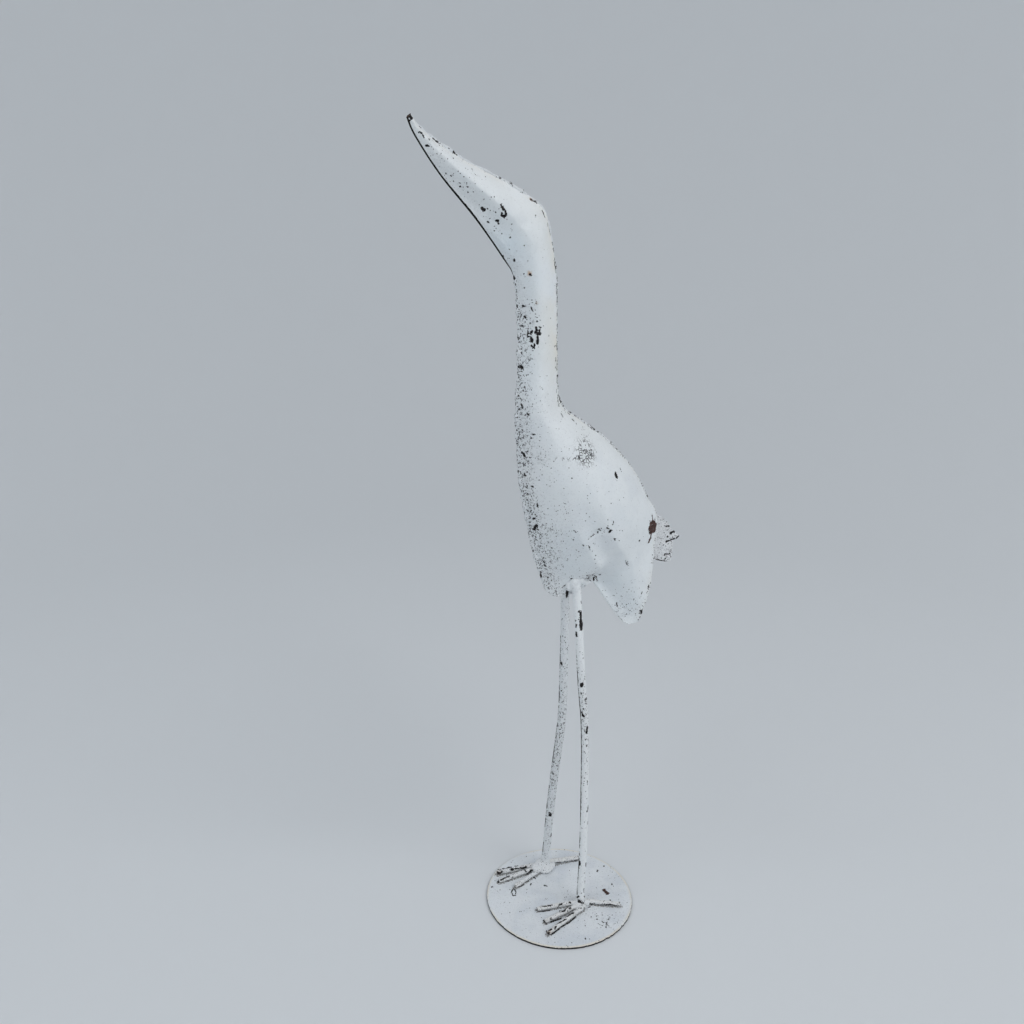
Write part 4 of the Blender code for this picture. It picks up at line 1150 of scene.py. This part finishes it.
def build_tail():
    """The ragged tail sheet, buckled a little, between the two flanks."""
    outline = []
    for start, end in zip(TAIL, TAIL[1:] + TAIL[:1]):
        steps = max(int(math.dist(start, end) / 0.8), 1)
        for i in range(steps):
            outline.append([start[k] + (end[k] - start[k]) * i / steps for k in (0, 1)])
    outline = np.array(outline)
    flat = np.stack([outline[:, 0], np.zeros(len(outline)), outline[:, 1]], axis=1)
    middle = flat.mean(axis=0)
    inward = (middle - flat)[:, [0, 2]] * 0.02
    outline += inward * np.abs(noise_at(flat, 2.2, 51))[:, None] * 1.2
    form = bmesh.new()
    form.faces.new([form.verts.new((f, 0.0, u)) for f, u in outline])
    bmesh.ops.triangulate(form, faces=form.faces)
    for _ in range(3):
        long_edges = [edge for edge in form.edges if edge.calc_length() > 2.2 and len(edge.link_faces) == 2]
        bmesh.ops.subdivide_edges(form, edges=long_edges, cuts=2)
        bmesh.ops.triangulate(form, faces=form.faces)
    bmesh.ops.beautify_fill(form, faces=form.faces, edges=[e for e in form.edges if len(e.link_faces) == 2])
    form.verts.index_update()
    sheet = np.array([tuple(vertex.co) for vertex in form.verts])
    triangles = [tuple(vertex.index for vertex in face.verts) for face in form.faces]
    border = [(e.verts[0].index, e.verts[1].index) for e in form.edges if len(e.link_faces) == 1]
    form.free()
    count = len(sheet)
    free = held((-62 - sheet[:, 0]) / 12)
    buckle = free * (0.9 * noise_at(sheet, 11.0, 52) + 0.35 * noise_at(sheet, 4.0, 53))
    thick = SHEET / 2 * (0.8 + 0.35 * noise_at(sheet, 3.0, 54))
    left, right = sheet.copy(), sheet.copy()
    left[:, 1] = buckle + thick
    right[:, 1] = buckle - thick
    points = np.concatenate([left, right])
    faces = triangles + [(a + count, c + count, b + count) for a, b, c in triangles]
    faces += [(a, b, b + count, a + count) for a, b in border]
    border_line = np.stack([outline[:, 0], np.zeros(len(outline)), outline[:, 1]], axis=1)
    edge = marks_at(points, [(0.0, border_line)])
    values = {
        "chip": marks_at(points, read_marks(TAIL_CHIPS, 3)),
        "speck": 0.22 + 0.25 * np.exp(edge / 1.5),
        "rough": 1.0,
        "cream": 0.3,
        "bare": 0.32 * np.exp(edge / 0.8),
    }
    add_piece("tail_sheet", to_frame(points), faces, "tail_paint", ["tail"], values, 50)


def seam_line(surface, first, last, column):
    """The middle line of a seam, between two stations, from a flank's edge column."""
    rows = [i for i, place in enumerate(row_places()) if first <= place <= last]
    return np.array([(surface[i, column, 0], 0.0, surface[i, column, 2]) for i in rows])


# Welds as balls: centre from the top of the leg (forward, outward, up), and radii (forward, left, up)
HIP_BALLS = (
    (0.0, -0.1, -2.0, 3.5, 3.5, 8.0), (1.0, -1.0, 4.4, 4.6, 3.2, 4.6), (4.4, -3.4, 1.2, 3.4, 2.6, 4.0),
    (-3.0, -1.4, 5.2, 4.6, 2.4, 2.6), (-8.0, -2.8, 2.4, 5.4, 2.0, 2.0),
)
LEFT_HIP_BALL = (4.9, -5.6, -4.4, 1.3, 1.2, 4.6)
# A hole in the left hip weld is painted, not made: the iron's dark colour stands for it and for the shade
# inside it
LEFT_HIP_PAINTED_HOLE = ((2.2, 12.4, 7.2, 274.4, 11.9, 7.4, 267.0), (1.0, 14.2, 6.6, 275.0, 12.8, 7.0, 273.6))

# The same for the feet: centre from the foot's own place (forward, left, up), and radii
FOOT_BALLS = {
    "left": (
        (0.0, 0.0, 3.0, 5.2, 5.2, 4.0), (0.0, 0.0, 6.0, 3.9, 3.9, 5.6), (5.0, 1.4, 2.0, 4.4, 4.0, 2.6),
        (4.0, 5.6, 1.8, 4.2, 3.4, 2.2), (-4.6, 2.6, 2.0, 3.6, 3.2, 2.4), (1.2, -3.6, 2.2, 4.0, 2.6, 2.4),
    ),
    "right": (
        (2.0, -0.6, 3.8, 7.6, 6.6, 5.4), (0.0, 0.0, 9.4, 4.2, 4.2, 7.8), (7.6, -0.4, 2.8, 5.6, 5.0, 3.6),
        (1.0, 3.8, 1.8, 6.4, 4.8, 2.4), (-4.6, 1.2, 2.2, 4.8, 4.4, 3.2),
    ),
}


def build_hip_weld(side_name, sign):
    forward, out, up = leg_path(side_name)[0]
    balls, painted_hole = HIP_BALLS, ()
    if side_name == "left":
        balls, painted_hole = (*HIP_BALLS, LEFT_HIP_BALL), read_marks(LEFT_HIP_PAINTED_HOLE, 3)
    balls = [(forward + f, sign * (out + o), up + u, *radii) for f, o, u, *radii in balls]
    build_lump(side_name + "_hip_weld", balls, 0.55, 101 + sign, 0.3, painted_hole, "bird_paint")


def build_foot_weld(side_name, sign, voxel, seed, bumpy):
    forward, out = FOOT[side_name]
    balls = [(forward + f, sign * out + left, *rest) for f, left, *rest in FOOT_BALLS[side_name]]
    floor = DISC_THICKNESS - 0.3
    build_lump(side_name + "_foot_weld", balls, voxel, seed, bumpy, FOOT_CHIPS, "rod_paint", floor)


left_surface = build_flank("left", 1)
build_flank("right", -1)
build_tail()

front = seam_line(left_surface, SLIT_END - 0.1, 14.6, 0)
back = seam_line(left_surface, 0.15, TAIL_STATION - 0.1, -1)
seam_marks = on_grid(left_surface, FLANK_CHIPS)
build_bead("front_seam", front - (0.9, 0, 0), 1.5, 61, seam_marks)
build_bead("back_seam", back + (0.9, 0, 0), 1.2, 71, seam_marks)

for name, sign in SIDES:
    build_leg(name, sign)
toe_lines = []
for first_seed, (name, sign) in zip((81, 121), SIDES):
    for number, which in enumerate(TOES[name]):
        toe_lines.append(build_toe(name, sign, which, first_seed + 5 * number))
build_disc(toe_lines)
for name, sign in SIDES:
    build_hip_weld(name, sign)
build_foot_weld("left", 1, 0.5, 121, 0.75)
build_foot_weld("right", -1, 0.55, 131, 0.55)


# Floor, lights and camera

# The floor's flat reach, the radius of its curve and how far that turns, and its rim, in metres and degrees
FLOOR_REACH = 0.9
FLOOR_CURVE = 1.6
FLOOR_RISE = 72
FLOOR_STEPS = 16
FLOOR_RIM = (2.9, 3.2)


def build_floor():
    """A plain pale floor that curves up far from the statue, the same all round."""
    profile = [(FLOOR_REACH, 0.0)]
    for step in range(1, FLOOR_STEPS + 1):
        turn = math.radians(FLOOR_RISE * step / FLOOR_STEPS)
        profile.append((FLOOR_REACH + FLOOR_CURVE * math.sin(turn), FLOOR_CURVE * (1 - math.cos(turn))))
    profile.append(FLOOR_RIM)
    sides = FLOOR_SIDES
    turns = [2 * math.pi * k / sides for k in range(sides)]
    form = bmesh.new()
    rings = []
    for reach, height in profile:
        rings.append([form.verts.new((reach * math.cos(t), reach * math.sin(t), height)) for t in turns])
    form.faces.new(rings[0])
    for lower, upper in zip(rings, rings[1:]):
        for k in range(sides):
            form.faces.new((lower[k], upper[k], upper[(k + 1) % sides], lower[(k + 1) % sides]))
    mesh = bpy.data.meshes.new("floor")
    form.to_mesh(mesh)
    form.free()
    mesh.shade_smooth()
    floor = bpy.data.objects.new("floor", mesh)
    bpy.context.collection.objects.link(floor)
    n = Nodes("floor_paint")
    n.shader.inputs["Base Color"].default_value = (0.77, 0.80, 0.82, 1.0)
    n.shader.inputs["Roughness"].default_value = 0.9
    n.shader.inputs["Specular IOR Level"].default_value = 0.1
    mesh.materials.append(n.material)


def add_area(name, location, target, size, power, colour):
    data = bpy.data.lights.new(name, "AREA")
    data.shape = "DISK"
    data.size = size
    data.energy = power
    data.color = colour
    light = bpy.data.objects.new(name, data)
    light.location = location
    light.rotation_euler = (Vector(target) - Vector(location)).to_track_quat("-Z", "Y").to_euler()
    bpy.context.collection.objects.link(light)


build_floor()

# The camera's place in metres, where it looks, and its level right and up, as fitted to the photograph
CAMERA_AT = Vector((0.6011, -0.3602, 0.5839))
LOOKING = Vector((-0.8404, 0.4282, -0.3322)).normalized()
LEVEL_RIGHT = Vector((0.4540, 0.8910, 0.0))
LEVEL_UP = Vector((-0.2960, 0.1508, 0.9432))
ROLL = math.radians(1.59)
LENS = 36.1

camera_data = bpy.data.cameras.new("camera")
camera_data.sensor_width = 36.0
camera_data.lens = LENS
camera_data.dof.use_dof = False
camera = bpy.data.objects.new("camera", camera_data)
right = LEVEL_RIGHT * math.cos(ROLL) + LEVEL_UP * math.sin(ROLL)
above = LEVEL_UP * math.cos(ROLL) - LEVEL_RIGHT * math.sin(ROLL)
turned = Matrix((right, above, -LOOKING)).transposed().to_4x4()
camera.matrix_world = Matrix.Translation(CAMERA_AT) @ turned
bpy.context.collection.objects.link(camera)
bpy.context.scene.camera = camera

# Lights: what they aim at, then each one's offset to the right, to the camera and up from there
CENTRE = Vector((-0.01, 0.0, 0.33))
to_camera = Vector((CAMERA_AT.x, CAMERA_AT.y, 0.0)).normalized()
for name, (aside, ahead, up), size, power, colour in (
    ("key", (1.7, 1.25, 1.95), 2.2, 30.0, (1.0, 0.99, 0.99)),
    ("fill", (-1.0, 0.8, 1.5), 1.3, 8.0, (0.94, 0.97, 1.0)),
):
    light_at = CENTRE + LEVEL_RIGHT * aside + to_camera * ahead + Vector((0.0, 0.0, up))
    add_area(name, light_at, CENTRE, size, power, colour)

world = bpy.data.worlds.new("studio")
world.use_nodes = True
background = world.node_tree.nodes["Background"]
background.inputs["Color"].default_value = (0.88, 0.905, 0.96, 1.0)
background.inputs["Strength"].default_value = 0.34
bpy.context.scene.world = world
bpy.context.scene.view_settings.view_transform = "Standard"
